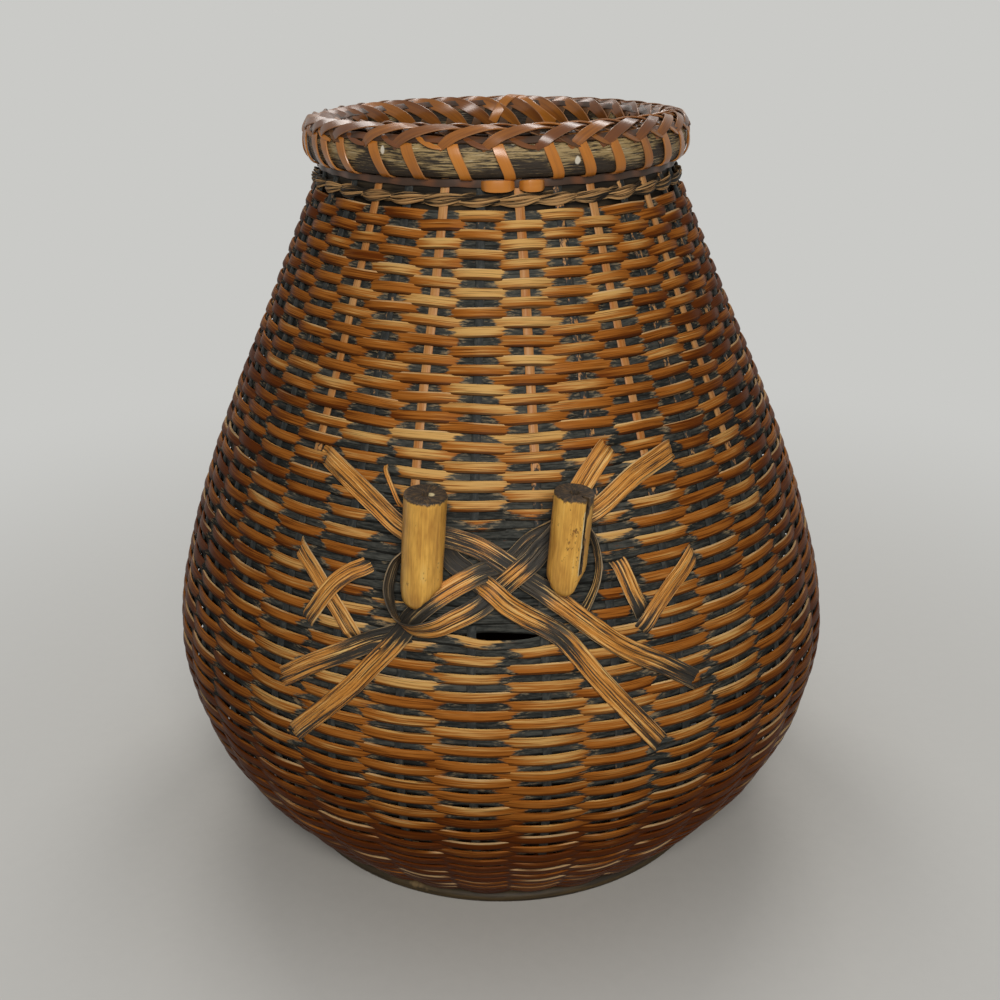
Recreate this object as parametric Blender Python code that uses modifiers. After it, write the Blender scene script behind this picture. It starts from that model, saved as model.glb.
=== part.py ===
"""Ikebana basket of split bamboo: woven wall, bound rim, two tied pegs and a lift-out water liner.

Lengths are in metres, with +Z up. The basket stands on z = 0 and its knot and pegs face -Y.
Places on the wall are given as an angle from the front, positive to the right, and a height.
"""
import math

import bpy
from mathutils import Matrix, Vector

MM = 0.001
DEG = math.pi / 180.0
CLEARANCE = 0.3 * MM

# Woven wall
WALL_TOP = 293.5 * MM
BELLY_RADIUS = 148.7 * MM
WALL_SKIN = 1.3 * MM
WALL_HEIGHT_SHARES = (0.0, 0.05, 0.11, 0.18, 0.26, 0.36, 0.50, 0.66, 0.83, 1.0)
WALL_RADIUS_SHARES = (0.664, 0.757, 0.851, 0.931, 0.983, 0.998, 0.931, 0.814, 0.661, 0.512)
SLOPE_SAMPLE_SHARE = 0.001
WEFT_BANDS = 5
STATIONS_PER_BAND = 3

# Stakes
STAKE_COUNT = 33
STAKE_WIDTH = 3.4 * MM
STAKE_THICKNESS = 1.0 * MM
STAKE_PHASE = -4.4 * DEG
STAKE_INNER_END = 28.0 * MM

# Base
FOOT_HEIGHT = 6.0 * MM
FOOT_WIDTH = 7.4 * MM
FOOT_SETBACK = 1.0 * MM
FOOT_CHAMFER = 1.2 * MM
BASE_MAT_THICKNESS = 2.5 * MM

# Neck and rim
NECK_TWINE_HEIGHT = 4.0 * MM
NECK_TWINE_THICKNESS = 1.8 * MM
NECK_TWINE_CHAMFER = 0.6 * MM
NECK_GAP = 4.4 * MM
RIM_STAKE_RADIUS = 71.5 * MM
HOOP_HEIGHT = 13.6 * MM
HOOP_THICKNESS = 5.6 * MM
HOOP_SHOULDER_SHARES = ((0.0, 0.55), (0.2, 0.91), (0.5, 1.0), (0.8, 0.91), (1.0, 0.55))
RIM_CORE_WIDTH = 8.0 * MM
RIM_CORE_HEIGHT = 2.2 * MM
LASHING_WIDTH = 4.2 * MM
LASHING_THICKNESS = 0.8 * MM
LASHING_LEAN_SHARE = 0.15
TIE_WIDTHS = (11.0 * MM, 8.0 * MM)
TIE_ANGLES = (0.3 * DEG, 9.9 * DEG)
TIE_THICKNESS = 1.2 * MM
TIE_CROWN = 0.8 * MM
TIE_STANDOFF = 0.8 * MM

# Pegs
PEG_NAMES = ("peg_left", "peg_right")
PEG_ANGLES = (-11.9 * DEG, 9.3 * DEG)
PEG_FOOT_SHARES = (0.5585, 0.5755)
PEG_LENGTHS = (44.6 * MM, 39.2 * MM)
PEG_RADII = (7.4 * MM, 7.0 * MM)
PEG_PITH_RADII = (1.6 * MM, 1.9 * MM)
PEG_PITH_DEPTH = 9.0 * MM
PEG_STANDOFFS = (6.3 * MM, 7.6 * MM)
PEG_SIDE_LEANS = (5.5 * DEG, 3.8 * DEG)
PEG_OUT_LEAN = 4.0 * DEG
PEG_TIP_SHARES = ((0.0, 0.40), (0.12, 0.72), (0.4, 0.93), (1.0, 1.0))
PEG_TIP_LENGTH = 9.0 * MM
PEG_STEPS = 20
SPLIT_WIDTH = 1.1 * MM
SPLIT_DEPTH = 4.2 * MM
SPLIT_LENGTH_SHARE = 0.8
SPLIT_ANGLE = 30.0 * DEG

# Straps of the knot, each as (angle in stake spacings, height share of the wall, layer)
STRAP_WIDTH = 7.8 * MM
LOOP_WIDTH = 4.0 * MM
STRAP_THICKNESS = 0.8 * MM
STRAP_STEP = 5.5 * MM
KNOT_SHARES = {
    "knot_strap_1": ((-3.11, 0.707, 0), (-2.48, 0.682, 0), (-1.54, 0.636, 1), (-1.14, 0.625, 1),
                     (-0.81, 0.624, 1), (-0.38, 0.613, 1), (0.06, 0.591, 1), (0.48, 0.568, 1),
                     (1.37, 0.517, 1), (2.04, 0.473, 1), (2.78, 0.428, 0)),
    "knot_strap_2": ((3.04, 0.707, 0), (2.22, 0.687, 0), (1.49, 0.654, 2), (1.14, 0.645, 2),
                     (0.82, 0.635, 2), (0.43, 0.617, 2), (0.04, 0.594, 2), (-0.29, 0.577, 2),
                     (-0.64, 0.556, 2), (-1.05, 0.532, 2), (-1.37, 0.507, 2), (-2.06, 0.440, 0),
                     (-2.94, 0.360, 0)),
    "knot_strap_3": ((1.84, 0.725, 0), (1.36, 0.688, 3), (1.11, 0.664, 3), (0.88, 0.626, 3),
                     (0.66, 0.604, 3), (0.38, 0.583, 3), (0.06, 0.563, 3), (-0.22, 0.549, 3),
                     (-0.50, 0.531, 3), (-0.97, 0.511, 3), (-1.40, 0.516, 3), (-1.64, 0.540, 3),
                     (-1.69, 0.566, 2), (-1.63, 0.590, 1)),
    "knot_strap_4": ((-0.89, 0.621, 0), (-0.66, 0.602, 0), (-0.29, 0.586, 0), (-0.01, 0.569, 0),
                     (0.39, 0.546, 0), (0.75, 0.525, 0), (1.30, 0.458, 0), (2.13, 0.361, 0)),
    "knot_strap_5": ((-1.70, 0.505, 0), (-2.45, 0.465, 0), (-3.24, 0.425, 0)),
}
LOOP_SHARES = {
    "knot_loop_right": ((1.31, 0.628, 0), (1.42, 0.610, 0), (1.44, 0.592, 0), (1.36, 0.566, 0),
                        (1.22, 0.548, 0)),
}

# Short accent straps on either side
ACCENT_WIDTH = 6.6 * MM
ACCENT_SHARES = {
    "accent_left_straight": ((-3.20, 0.590, 0), (-2.63, 0.549, 0), (-2.13, 0.506, 0)),
    "accent_left_arched": ((-2.01, 0.588, 1), (-2.43, 0.562, 1), (-2.69, 0.536, 1), (-2.85, 0.512, 1)),
    "accent_right_inner": ((1.76, 0.590, 0), (1.90, 0.557, 0), (2.03, 0.528, 0)),
    "accent_right_outer": ((3.01, 0.580, 1), (2.50, 0.547, 1), (2.01, 0.508, 1)),
}

# Water liner
LINER_RADIUS = 45.0 * MM
LINER_HEIGHT = 185.0 * MM
LINER_WALL = 1.2 * MM
LINER_BEAD = 1.3 * MM

# Fineness of the round pieces
ROUND_STEPS = 2 * STAKE_COUNT
LINER_STEPS = 48

# Values that follow from the sizes above
STAKE_SPACING = 2.0 * math.pi / STAKE_COUNT
WALL_BOTTOM = FOOT_HEIGHT + CLEARANCE
STAKE_DEPTH = WALL_SKIN + CLEARANCE + STAKE_THICKNESS / 2
BASE_STAKE_HEIGHT = FOOT_HEIGHT + CLEARANCE + STAKE_THICKNESS / 2
TWINE_TOP = WALL_TOP + CLEARANCE + NECK_TWINE_HEIGHT
HOOP_BOTTOM = TWINE_TOP + CLEARANCE + NECK_GAP
HOOP_TOP = HOOP_BOTTOM + HOOP_HEIGHT
HOOP_FACE_OFFSET = STAKE_THICKNESS / 2 + CLEARANCE
LINER_BOTTOM = BASE_STAKE_HEIGHT + STAKE_THICKNESS / 2 + CLEARANCE


def colour_material(name, colour, roughness, metallic=0.0):
    """Make a Principled material."""
    material = bpy.data.materials.new(name)
    material.use_nodes = True
    shader = material.node_tree.nodes["Principled BSDF"]
    shader.inputs["Base Color"].default_value = (*colour, 1.0)
    shader.inputs["Roughness"].default_value = roughness
    shader.inputs["Metallic"].default_value = metallic
    material.diffuse_color = (*colour, 1.0)
    return material


def smooth_value(places, values, place):
    """Read a smooth curve through a table: cubic pieces whose slopes follow the neighbours."""
    count = len(places)
    slopes = []
    for i in range(count):
        low = max(i - 1, 0)
        high = min(i + 1, count - 1)
        slopes.append((values[high] - values[low]) / (places[high] - places[low]))
    piece = 0
    while piece < count - 2 and place > places[piece + 1]:
        piece += 1
    span = places[piece + 1] - places[piece]
    t = (place - places[piece]) / span
    return ((2 * t**3 - 3 * t**2 + 1) * values[piece]
            + (t**3 - 2 * t**2 + t) * span * slopes[piece]
            + (3 * t**2 - 2 * t**3) * values[piece + 1]
            + (t**3 - t**2) * span * slopes[piece + 1])


def wall_radius(height):
    """Outside radius of the woven wall at a height."""
    return BELLY_RADIUS * smooth_value(WALL_HEIGHT_SHARES, WALL_RADIUS_SHARES, height / WALL_TOP)


def wall_slope(height):
    """How much the wall's radius grows for each unit of height."""
    step = WALL_TOP * SLOPE_SAMPLE_SHARE
    return (wall_radius(height + step) - wall_radius(height - step)) / (2 * step)


def wall_point(angle, height, offset=0.0):
    """A point on the wall's outside, or off it by an offset along the wall's normal."""
    lean = math.atan(wall_slope(height))
    radius = wall_radius(height) + offset * math.cos(lean)
    return Vector((radius * math.sin(angle), -radius * math.cos(angle),
                   height - offset * math.sin(lean)))


def wall_normal(angle, height):
    """The wall's outward normal."""
    lean = math.atan(wall_slope(height))
    return Vector((math.cos(lean) * math.sin(angle), -math.cos(lean) * math.cos(angle),
                   -math.sin(lean)))


def station_heights():
    """Heights at which every wall piece has a corner, so that neighbours stay parallel."""
    count = WEFT_BANDS * STATIONS_PER_BAND
    return [WALL_BOTTOM + (WALL_TOP - WALL_BOTTOM) * i / count for i in range(count + 1)]


def station_radius(height, depth):
    """Radius at a depth under the wall's outside, straight between stations."""
    stations = station_heights()
    radii = [wall_radius(z) - depth * math.hypot(1.0, wall_slope(z)) for z in stations]
    for low in range(len(stations) - 1):
        if height <= stations[low + 1] or low == len(stations) - 2:
            share = (height - stations[low]) / (stations[low + 1] - stations[low])
            return radii[low] + (radii[low + 1] - radii[low]) * share
    return radii[-1]


def place(name, mesh, material, collection):
    """Put a mesh into the scene as a named object."""
    obj = bpy.data.objects.new(name, mesh)
    collection.objects.link(obj)
    if not mesh.materials:
        mesh.materials.append(material)
    return obj


def move_to(obj, collection):
    """Keep an object in one collection only."""
    for holder in list(obj.users_collection):
        holder.objects.unlink(obj)
    collection.objects.link(obj)


def turned(name, outline, material, collection, steps=ROUND_STEPS, closed=True):
    """Turn an outline of (radius, height) points, outer side first and downwards, about Z."""
    mesh = bpy.data.meshes.new(name)
    points = [(radius, 0.0, height) for radius, height in outline]
    edges = [(i, i + 1) for i in range(len(points) - 1)]
    if closed:
        edges.append((len(points) - 1, 0))
    mesh.from_pydata(points, edges, [])
    obj = place(name, mesh, material, collection)
    screw = obj.modifiers.new("turn", "SCREW")
    screw.angle = 2.0 * math.pi
    screw.steps = steps
    screw.render_steps = steps
    screw.use_merge_vertices = True
    screw.merge_threshold = 0.0001
    return obj


def ribbon_mesh(name, rows):
    """A flat strip laid along rows of points across its width, still without thickness."""
    mesh = bpy.data.meshes.new(name)
    across = len(rows[0])
    points = [point for row in rows for point in row]
    faces = []
    for i in range(len(rows) - 1):
        for j in range(across - 1):
            corner = i * across + j
            faces.append((corner, corner + across, corner + across + 1, corner + 1))
    mesh.from_pydata(points, [], faces)
    return mesh


def ribbon(name, rows, thickness, material, collection):
    """A strip of even thickness on both sides of its rows."""
    mesh = ribbon_mesh(name, rows)
    obj = place(name, mesh, material, collection)
    thicken(obj, thickness)
    return obj


def thicken(obj, thickness):
    """Give a strip its thickness."""
    solidify = obj.modifiers.new("thickness", "SOLIDIFY")
    solidify.thickness = thickness
    solidify.offset = 0.0
    solidify.use_even_offset = True


def base_foot_radius():
    """Outer radius of the foot ring, just inside the wall's lower edge."""
    return wall_radius(WALL_BOTTOM) - FOOT_SETBACK


def build_base(materials, collection):
    """Foot ring and base mat."""
    outer = base_foot_radius()
    inner = outer - FOOT_WIDTH
    outline = ((outer, FOOT_HEIGHT), (outer, FOOT_CHAMFER), (outer - FOOT_CHAMFER, 0.0),
               (inner + FOOT_CHAMFER, 0.0), (inner, FOOT_CHAMFER), (inner, FOOT_HEIGHT))
    turned("base_ring", outline, materials["dark_bamboo"], collection)
    bpy.ops.mesh.primitive_cylinder_add(
        vertices=ROUND_STEPS, radius=inner - CLEARANCE, depth=BASE_MAT_THICKNESS,
        location=(0.0, 0.0, FOOT_HEIGHT - BASE_MAT_THICKNESS / 2))
    mat = bpy.context.object
    mat.name = "base_mat"
    mat.data.materials.append(materials["weft_bamboo"])
    move_to(mat, collection)


def build_weft(materials, collection):
    """The woven wall as stacked bands, each one run of weft strip."""
    stations = station_heights()
    for band in range(WEFT_BANDS):
        low = band * STATIONS_PER_BAND
        heights = stations[low:low + STATIONS_PER_BAND + 1]
        if band > 0:
            heights[0] += CLEARANCE / 2
        if band < WEFT_BANDS - 1:
            heights[-1] -= CLEARANCE / 2
        outer = [(station_radius(z, 0.0), z) for z in reversed(heights)]
        inner = [(station_radius(z, WALL_SKIN), z) for z in heights]
        turned(f"weft_band_{band + 1}", outer + inner, materials["weft_bamboo"], collection)


def stake_path():
    """Centre line of one stake as (radius, height), from its inner end up into the rim."""
    stations = station_heights()
    corner = station_radius(WALL_BOTTOM, STAKE_DEPTH) - STAKE_THICKNESS * 2
    path = [(STAKE_INNER_END, BASE_STAKE_HEIGHT), (corner, BASE_STAKE_HEIGHT)]
    path += [(station_radius(z, STAKE_DEPTH), z) for z in stations[1:]]
    path.append((path[-1][0] - STAKE_THICKNESS / 2, TWINE_TOP))
    path.append((RIM_STAKE_RADIUS, HOOP_BOTTOM))
    path.append((RIM_STAKE_RADIUS, HOOP_TOP - CLEARANCE))
    return path


def build_stakes(materials, collection):
    """Upright stakes that share one mesh, each turned to its own place."""
    rows = [(Vector((-STAKE_WIDTH / 2, -radius, z)), Vector((STAKE_WIDTH / 2, -radius, z)))
            for radius, z in stake_path()]
    mesh = ribbon_mesh("stake", rows)
    for i in range(STAKE_COUNT):
        obj = place(f"stake_{i + 1:02d}", mesh, materials["stake_bamboo"], collection)
        obj.rotation_euler.z = STAKE_PHASE + i * STAKE_SPACING
        thicken(obj, STAKE_THICKNESS)


def build_neck(materials, collection):
    """Twined band that closes the weave under the rim."""
    bottom = WALL_TOP + CLEARANCE
    inner = station_radius(WALL_TOP, STAKE_DEPTH) + STAKE_THICKNESS / 2 + CLEARANCE
    outer = inner + NECK_TWINE_THICKNESS
    outline = ((outer - NECK_TWINE_CHAMFER, TWINE_TOP), (outer, TWINE_TOP - NECK_TWINE_CHAMFER),
               (outer, bottom + NECK_TWINE_CHAMFER), (outer - NECK_TWINE_CHAMFER, bottom),
               (inner, bottom), (inner, TWINE_TOP))
    turned("neck_twine", outline, materials["weft_bamboo"], collection)


def rim_sections():
    """Outlines of the outer hoop, the inner hoop and the core, outer side first and downwards."""
    face_out = RIM_STAKE_RADIUS + HOOP_FACE_OFFSET
    face_in = RIM_STAKE_RADIUS - HOOP_FACE_OFFSET
    bulge = [(HOOP_TOP - rise * HOOP_HEIGHT, swell * HOOP_THICKNESS)
             for rise, swell in HOOP_SHOULDER_SHARES]
    outer = [(face_out + swell, z) for z, swell in bulge]
    outer += [(face_out, HOOP_BOTTOM), (face_out, HOOP_TOP)]
    inner = [(face_in, HOOP_TOP), (face_in, HOOP_BOTTOM)]
    inner += [(face_in - swell, z) for z, swell in reversed(bulge)]
    core_bottom = HOOP_TOP + CLEARANCE
    core_top = core_bottom + RIM_CORE_HEIGHT
    core_out = RIM_STAKE_RADIUS + RIM_CORE_WIDTH / 2
    core_in = RIM_STAKE_RADIUS - RIM_CORE_WIDTH / 2
    rounding = RIM_CORE_HEIGHT / 2
    core = [(core_out - rounding, core_top), (core_out, core_top - rounding),
            (core_out, core_bottom), (core_in, core_bottom),
            (core_in, core_top - rounding), (core_in + rounding, core_top)]
    return outer, inner, core


def hull(points):
    """Convex outline round some points, counter-clockwise."""
    ordered = sorted(set(points))
    outline = []
    for run in (ordered, ordered[::-1]):
        start = len(outline)
        for point in run:
            while len(outline) >= start + 2 and turn_left(outline[-2], outline[-1], point) <= 0.0:
                outline.pop()
            outline.append(point)
        outline.pop()
    return outline


def turn_left(a, b, c):
    """Positive where a path through three points turns to the left."""
    return (b[0] - a[0]) * (c[1] - a[1]) - (b[1] - a[1]) * (c[0] - a[0])


def lashing_outline():
    """Closed path of the binding round the rim as (spot, outward) pairs, from its lowest side up."""
    corners = hull([corner for section in rim_sections() for corner in section])
    count = len(corners)
    first = max(range(count), key=lambda i: (-round(corners[i][1] / CLEARANCE), corners[i][0]))
    reach = CLEARANCE + LASHING_THICKNESS / 2
    path = []
    for i in range(first, first + count):
        before, corner, after = (Vector(corners[(i + step) % count]) for step in (-1, 0, 1))
        incoming = (corner - before).normalized()
        outgoing = (after - corner).normalized()
        outward = Vector((incoming.y + outgoing.y, -incoming.x - outgoing.x)).normalized()
        miter = outward.dot(Vector((outgoing.y, -outgoing.x)))
        path.append((corner + outward * (reach / miter), outward))
    return path


def lashing_rows():
    """Rows across the binding strip, which winds once round the rim in each stake spacing."""
    path = lashing_outline()
    centres = []
    normals = []
    for turn in range(STAKE_COUNT):
        for step, (spot, outward) in enumerate(path):
            if spot.y < HOOP_TOP:
                up = max((spot.y - HOOP_BOTTOM) / HOOP_HEIGHT, 0.0)
                advance = -LASHING_LEAN_SHARE * up
                if spot.x < RIM_STAKE_RADIUS:
                    advance = 1.0 - advance
            else:
                inward = 0.5 - (spot.x - RIM_STAKE_RADIUS) / (2 * HOOP_THICKNESS)
                advance = -LASHING_LEAN_SHARE + inward * (1.0 + 2 * LASHING_LEAN_SHARE)
            angle = STAKE_PHASE + (turn + 0.5 + advance) * STAKE_SPACING
            facing = Vector((math.sin(angle), -math.cos(angle), 0.0))
            centres.append(facing * spot.x + Vector((0.0, 0.0, spot.y)))
            normals.append(facing * outward.x + Vector((0.0, 0.0, outward.y)))
    return rows_across(centres, normals, LASHING_WIDTH)


def rows_across(centres, normals, width):
    """Edge points of a strip on its centre line, square to the line and to the normals."""
    rows = []
    for i, centre in enumerate(centres):
        ahead = centres[min(i + 1, len(centres) - 1)] - centres[max(i - 1, 0)]
        side = ahead.cross(normals[i]).normalized() * (width / 2)
        rows.append((centre - side, centre + side))
    return rows


def build_rim(materials, collection):
    """Hoops either side of the stakes, the core on top and the binding round them all."""
    outer, inner, core = rim_sections()
    turned("rim_hoop_outer", outer, materials["hoop_bamboo"], collection)
    turned("rim_hoop_inner", inner, materials["hoop_bamboo"], collection)
    turned("rim_core", core, materials["dark_bamboo"], collection)
    ribbon("rim_lashing", lashing_rows(), LASHING_THICKNESS, materials["lashing_bamboo"], collection)


def stake_face(height):
    """Radius of the stakes' outer face between the twined band and the hoop."""
    (start, foot), (end, head) = stake_path()[-3:-1]
    slope = (end - start) / (head - foot)
    centre = start + slope * (height - foot)
    return centre + STAKE_THICKNESS / 2 * math.hypot(1.0, slope)


def build_ties(materials, collection):
    """Two short ties over the stakes, between the twined band and the hoop."""
    low = TWINE_TOP + CLEARANCE
    high = HOOP_BOTTOM - LASHING_THICKNESS - 2 * CLEARANCE
    inner = max(stake_face(low), stake_face(high)) + TIE_STANDOFF
    radius = inner + TIE_THICKNESS / 2
    for i, (angle, width) in enumerate(zip(TIE_ANGLES, TIE_WIDTHS)):
        rows = []
        for side in (-1.0, 0.0, 1.0):
            turn = angle + side * width / 2 / radius
            reach = radius + TIE_CROWN * (1.0 - abs(side))
            rows.append([Vector((reach * math.sin(turn), -reach * math.cos(turn), z))
                         for z in (low, high)])
        ribbon(f"rim_tie_{i + 1}", rows, TIE_THICKNESS, materials["lashing_bamboo"], collection)


def peg_outline(length, radius, pith_radius):
    """A round bamboo peg with a pith hole in its top and a whittled foot."""
    outline = [(pith_radius, length - PEG_PITH_DEPTH), (pith_radius, length), (radius, length)]
    outline += [(radius * swell, PEG_TIP_LENGTH * rise) for rise, swell in reversed(PEG_TIP_SHARES)]
    return outline


def build_pegs(materials, collection, cutters):
    """Two pegs that stand off the wall, the right one split along its side."""
    for i, name in enumerate(PEG_NAMES):
        length = PEG_LENGTHS[i]
        outline = peg_outline(length, PEG_RADII[i], PEG_PITH_RADII[i])
        profile = [(0.0, outline[0][1])] + outline + [(0.0, 0.0)]
        peg = turned(name, profile, materials["peg_bamboo"], collection, PEG_STEPS, closed=False)
        foot = wall_point(PEG_ANGLES[i], PEG_FOOT_SHARES[i] * WALL_TOP)
        facing = Vector((math.sin(PEG_ANGLES[i]), -math.cos(PEG_ANGLES[i]), 0.0))
        peg.location = foot + facing * PEG_STANDOFFS[i]
        peg.rotation_euler = (PEG_OUT_LEAN, PEG_SIDE_LEANS[i], PEG_ANGLES[i])
        if i == 1:
            split_peg(peg, length, PEG_RADII[i], cutters)


def split_peg(peg, length, radius, cutters):
    """Cut the drying crack into a peg's side."""
    crack_length = length * SPLIT_LENGTH_SHARE
    bpy.ops.mesh.primitive_cube_add(size=1.0)
    cutter = bpy.context.object
    cutter.name = "crack_cutter"
    cutter.data.transform(Matrix.Diagonal((SPLIT_WIDTH, SPLIT_DEPTH * 2, crack_length, 1.0)))
    spot = Matrix.Rotation(SPLIT_ANGLE, 4, "Z") @ Vector((0.0, -radius, 0.0))
    spot.z = length - crack_length / 2 + SPLIT_WIDTH
    cutter.parent = peg
    cutter.location = spot
    cutter.rotation_euler.z = SPLIT_ANGLE
    move_to(cutter, cutters)
    cutter.hide_render = True
    cutter.display_type = "WIRE"
    cut = peg.modifiers.new("crack", "BOOLEAN")
    cut.operation = "DIFFERENCE"
    cut.solver = "EXACT"
    cut.object = cutter


def strap_rows(table, width):
    """Rows across a strap that lies on the wall, raised by its layers."""
    knots = [(turns * STAKE_SPACING, share * WALL_TOP, layer) for turns, share, layer in table]
    places = [0.0]
    for before, after in zip(knots, knots[1:]):
        run = math.hypot((after[0] - before[0]) * wall_radius(after[1]), after[1] - before[1])
        places.append(places[-1] + run)
    count = max(2, round(places[-1] / STRAP_STEP))
    centres = []
    normals = []
    for i in range(count + 1):
        along = places[-1] * i / count
        angle = smooth_value(places, [knot[0] for knot in knots], along)
        height = smooth_value(places, [knot[1] for knot in knots], along)
        layer = max(smooth_value(places, [knot[2] for knot in knots], along), 0.0)
        lift = CLEARANCE + STRAP_THICKNESS / 2 + layer * (STRAP_THICKNESS + CLEARANCE)
        centres.append(wall_point(angle, height, lift))
        normals.append(wall_normal(angle, height))
    return rows_across(centres, normals, width)


def build_straps(materials, collection):
    """The knot, the loop round the right peg and the accents beside them."""
    for shares, width in ((KNOT_SHARES, STRAP_WIDTH), (LOOP_SHARES, LOOP_WIDTH),
                          (ACCENT_SHARES, ACCENT_WIDTH)):
        for name, table in shares.items():
            rows = strap_rows(table, width)
            ribbon(name, rows, STRAP_THICKNESS, materials["strap_bamboo"], collection)


def build_liner(materials, collection):
    """The water liner that stands inside and lifts out."""
    inner = LINER_RADIUS - LINER_WALL
    top = LINER_HEIGHT
    outline = [(0.0, LINER_WALL), (inner, LINER_WALL), (inner, top), (LINER_RADIUS, top),
               (LINER_RADIUS + LINER_BEAD, top - LINER_BEAD),
               (LINER_RADIUS, top - 2 * LINER_BEAD), (LINER_RADIUS, 0.0), (0.0, 0.0)]
    liner = turned("water_liner", outline, materials["liner_metal"], collection, LINER_STEPS,
                   closed=False)
    liner.location.z = LINER_BOTTOM


def clear_scene():
    """Start from an empty scene."""
    for obj in list(bpy.data.objects):
        bpy.data.objects.remove(obj, do_unlink=True)


def new_collection(name):
    """Make a collection in the scene."""
    collection = bpy.data.collections.new(name)
    bpy.context.scene.collection.children.link(collection)
    return collection


def make_materials():
    """The finishes of the pieces."""
    return {
        "weft_bamboo": colour_material("weft_bamboo", (0.38, 0.13, 0.035), 0.42),
        "stake_bamboo": colour_material("stake_bamboo", (0.45, 0.27, 0.13), 0.5),
        "dark_bamboo": colour_material("dark_bamboo", (0.045, 0.03, 0.02), 0.55),
        "hoop_bamboo": colour_material("hoop_bamboo", (0.09, 0.065, 0.03), 0.45),
        "lashing_bamboo": colour_material("lashing_bamboo", (0.32, 0.11, 0.03), 0.3),
        "peg_bamboo": colour_material("peg_bamboo", (0.58, 0.36, 0.1), 0.4),
        "strap_bamboo": colour_material("strap_bamboo", (0.4, 0.19, 0.06), 0.5),
        "liner_metal": colour_material("liner_metal", (0.03, 0.022, 0.017), 0.4),
    }


def main():
    """Build the basket."""
    clear_scene()
    basket = new_collection("ikebana_basket")
    cutters = new_collection("cutters")
    materials = make_materials()
    build_base(materials, basket)
    build_weft(materials, basket)
    build_stakes(materials, basket)
    build_neck(materials, basket)
    build_rim(materials, basket)
    build_ties(materials, basket)
    build_pegs(materials, basket, cutters)
    build_straps(materials, basket)
    build_liner(materials, basket)


main()
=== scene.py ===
import math

import bpy
import numpy as np
from mathutils import Matrix, Vector


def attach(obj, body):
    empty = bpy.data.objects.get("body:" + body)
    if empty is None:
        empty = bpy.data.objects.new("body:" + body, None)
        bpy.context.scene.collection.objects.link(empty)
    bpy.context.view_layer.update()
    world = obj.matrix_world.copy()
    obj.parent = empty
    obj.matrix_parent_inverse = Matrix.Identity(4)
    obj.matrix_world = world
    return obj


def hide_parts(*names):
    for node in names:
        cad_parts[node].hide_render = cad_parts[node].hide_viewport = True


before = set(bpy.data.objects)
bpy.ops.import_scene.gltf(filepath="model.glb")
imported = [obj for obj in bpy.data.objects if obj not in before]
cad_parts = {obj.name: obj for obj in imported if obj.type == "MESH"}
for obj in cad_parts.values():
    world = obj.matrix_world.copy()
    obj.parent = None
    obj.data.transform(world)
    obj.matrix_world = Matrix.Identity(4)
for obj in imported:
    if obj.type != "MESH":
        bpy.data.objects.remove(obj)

bl_info = {
    "name": "Ikebana basket",
    "version": (1, 0, 0),
    "blender": (4, 5, 0),
    "location": "3D View > Sidebar > Basket",
    "description": "Weaves a bamboo flower basket round its fixed frame",
    "category": "Add Mesh",
}

MM = 0.001
TURN = 2.0 * math.pi
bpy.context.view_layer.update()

# The wall, as its source gives it: outside radius against height.
WALL_TOP = 293.5 * MM
WALL_BOTTOM = 6.3 * MM
BELLY_RADIUS = 148.7 * MM
WALL_HEIGHT_SHARES = (0.0, 0.05, 0.11, 0.18, 0.26, 0.36, 0.50, 0.66, 0.83, 1.0)
WALL_RADIUS_SHARES = (0.664, 0.757, 0.851, 0.931, 0.983, 0.998, 0.931, 0.814, 0.661, 0.512)
STAKES = 33
SPACING = TURN / STAKES
STAKE_PHASE = math.radians(-4.4)
STAKE_DEPTH = 1.9 * MM
BANDS = 5
BAND_HEIGHT = (WALL_TOP - WALL_BOTTOM) / BANDS
SAMPLES_PER_STAKE = 10
# The stakes' ends: how high they lie on the mat, and how high they reach in the rim.
STAKE_FOOT = 6.85 * MM
STAKE_TOP = 315.6 * MM
# How near the axis they start, and how far they sway to either side.
STAKE_INNER = 28.0 * MM
STAKE_SWAY = 0.5 * MM
# The weft: how far its middle lies outside that of the stakes, how far its rows drift and shake
# up and down, and how near the ends of the wall they come to rest.
WEFT_LIFT = 0.075 * MM
ROW_DRIFT = 0.30 * MM
ROW_SHAKE = 0.11 * MM
ROW_END = 6.0 * MM
# How far apart the points of a strap or of a strip of the mat are.
SAMPLE_STEP = 1.1 * MM

# The rim: the middle between its two rods, how high the rods lie, their section, and the depth
# of the hollows in their bark.
RIM_MIDDLE = 71.5 * MM
HOOP_LEVEL = 309.3 * MM
ROD_WIDTH = 5.6 * MM
ROD_DEPTH = 13.6 * MM
ROD_HOLLOWS = 0.22 * MM
# The filler between the rods.
FILLER_WIDTH = 6.8 * MM
FILLER_DEPTH = 1.768 * MM
FILLER_LEVEL = 315.5 * MM

# Flat split bamboo: half shares of width and thickness, round a section.
STRIP_SECTION = ((-0.90, -1.0), (0.90, -1.0), (1.0, 0.0), (0.92, 0.80), (0.5, 1.0),
                 (-0.5, 1.0), (-0.92, 0.80), (-1.0, 0.0))
STAKE_SECTION = ((-0.9, -1.0), (0.9, -1.0), (1.0, 0.3), (0.7, 1.0), (-0.7, 1.0), (-1.0, 0.3))
SPLINT_SECTION = ((-0.7, -0.9), (0.7, -0.9), (1.0, 0.0), (0.6, 0.9), (-0.6, 0.9), (-1.0, 0.0))

# How near the edge of the strip each point of its section is.
STRIP_EDGE = ((0.8, 0.8, 1.0, 0.92, 0.0, 0.0, 0.92, 1.0),)

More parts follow.
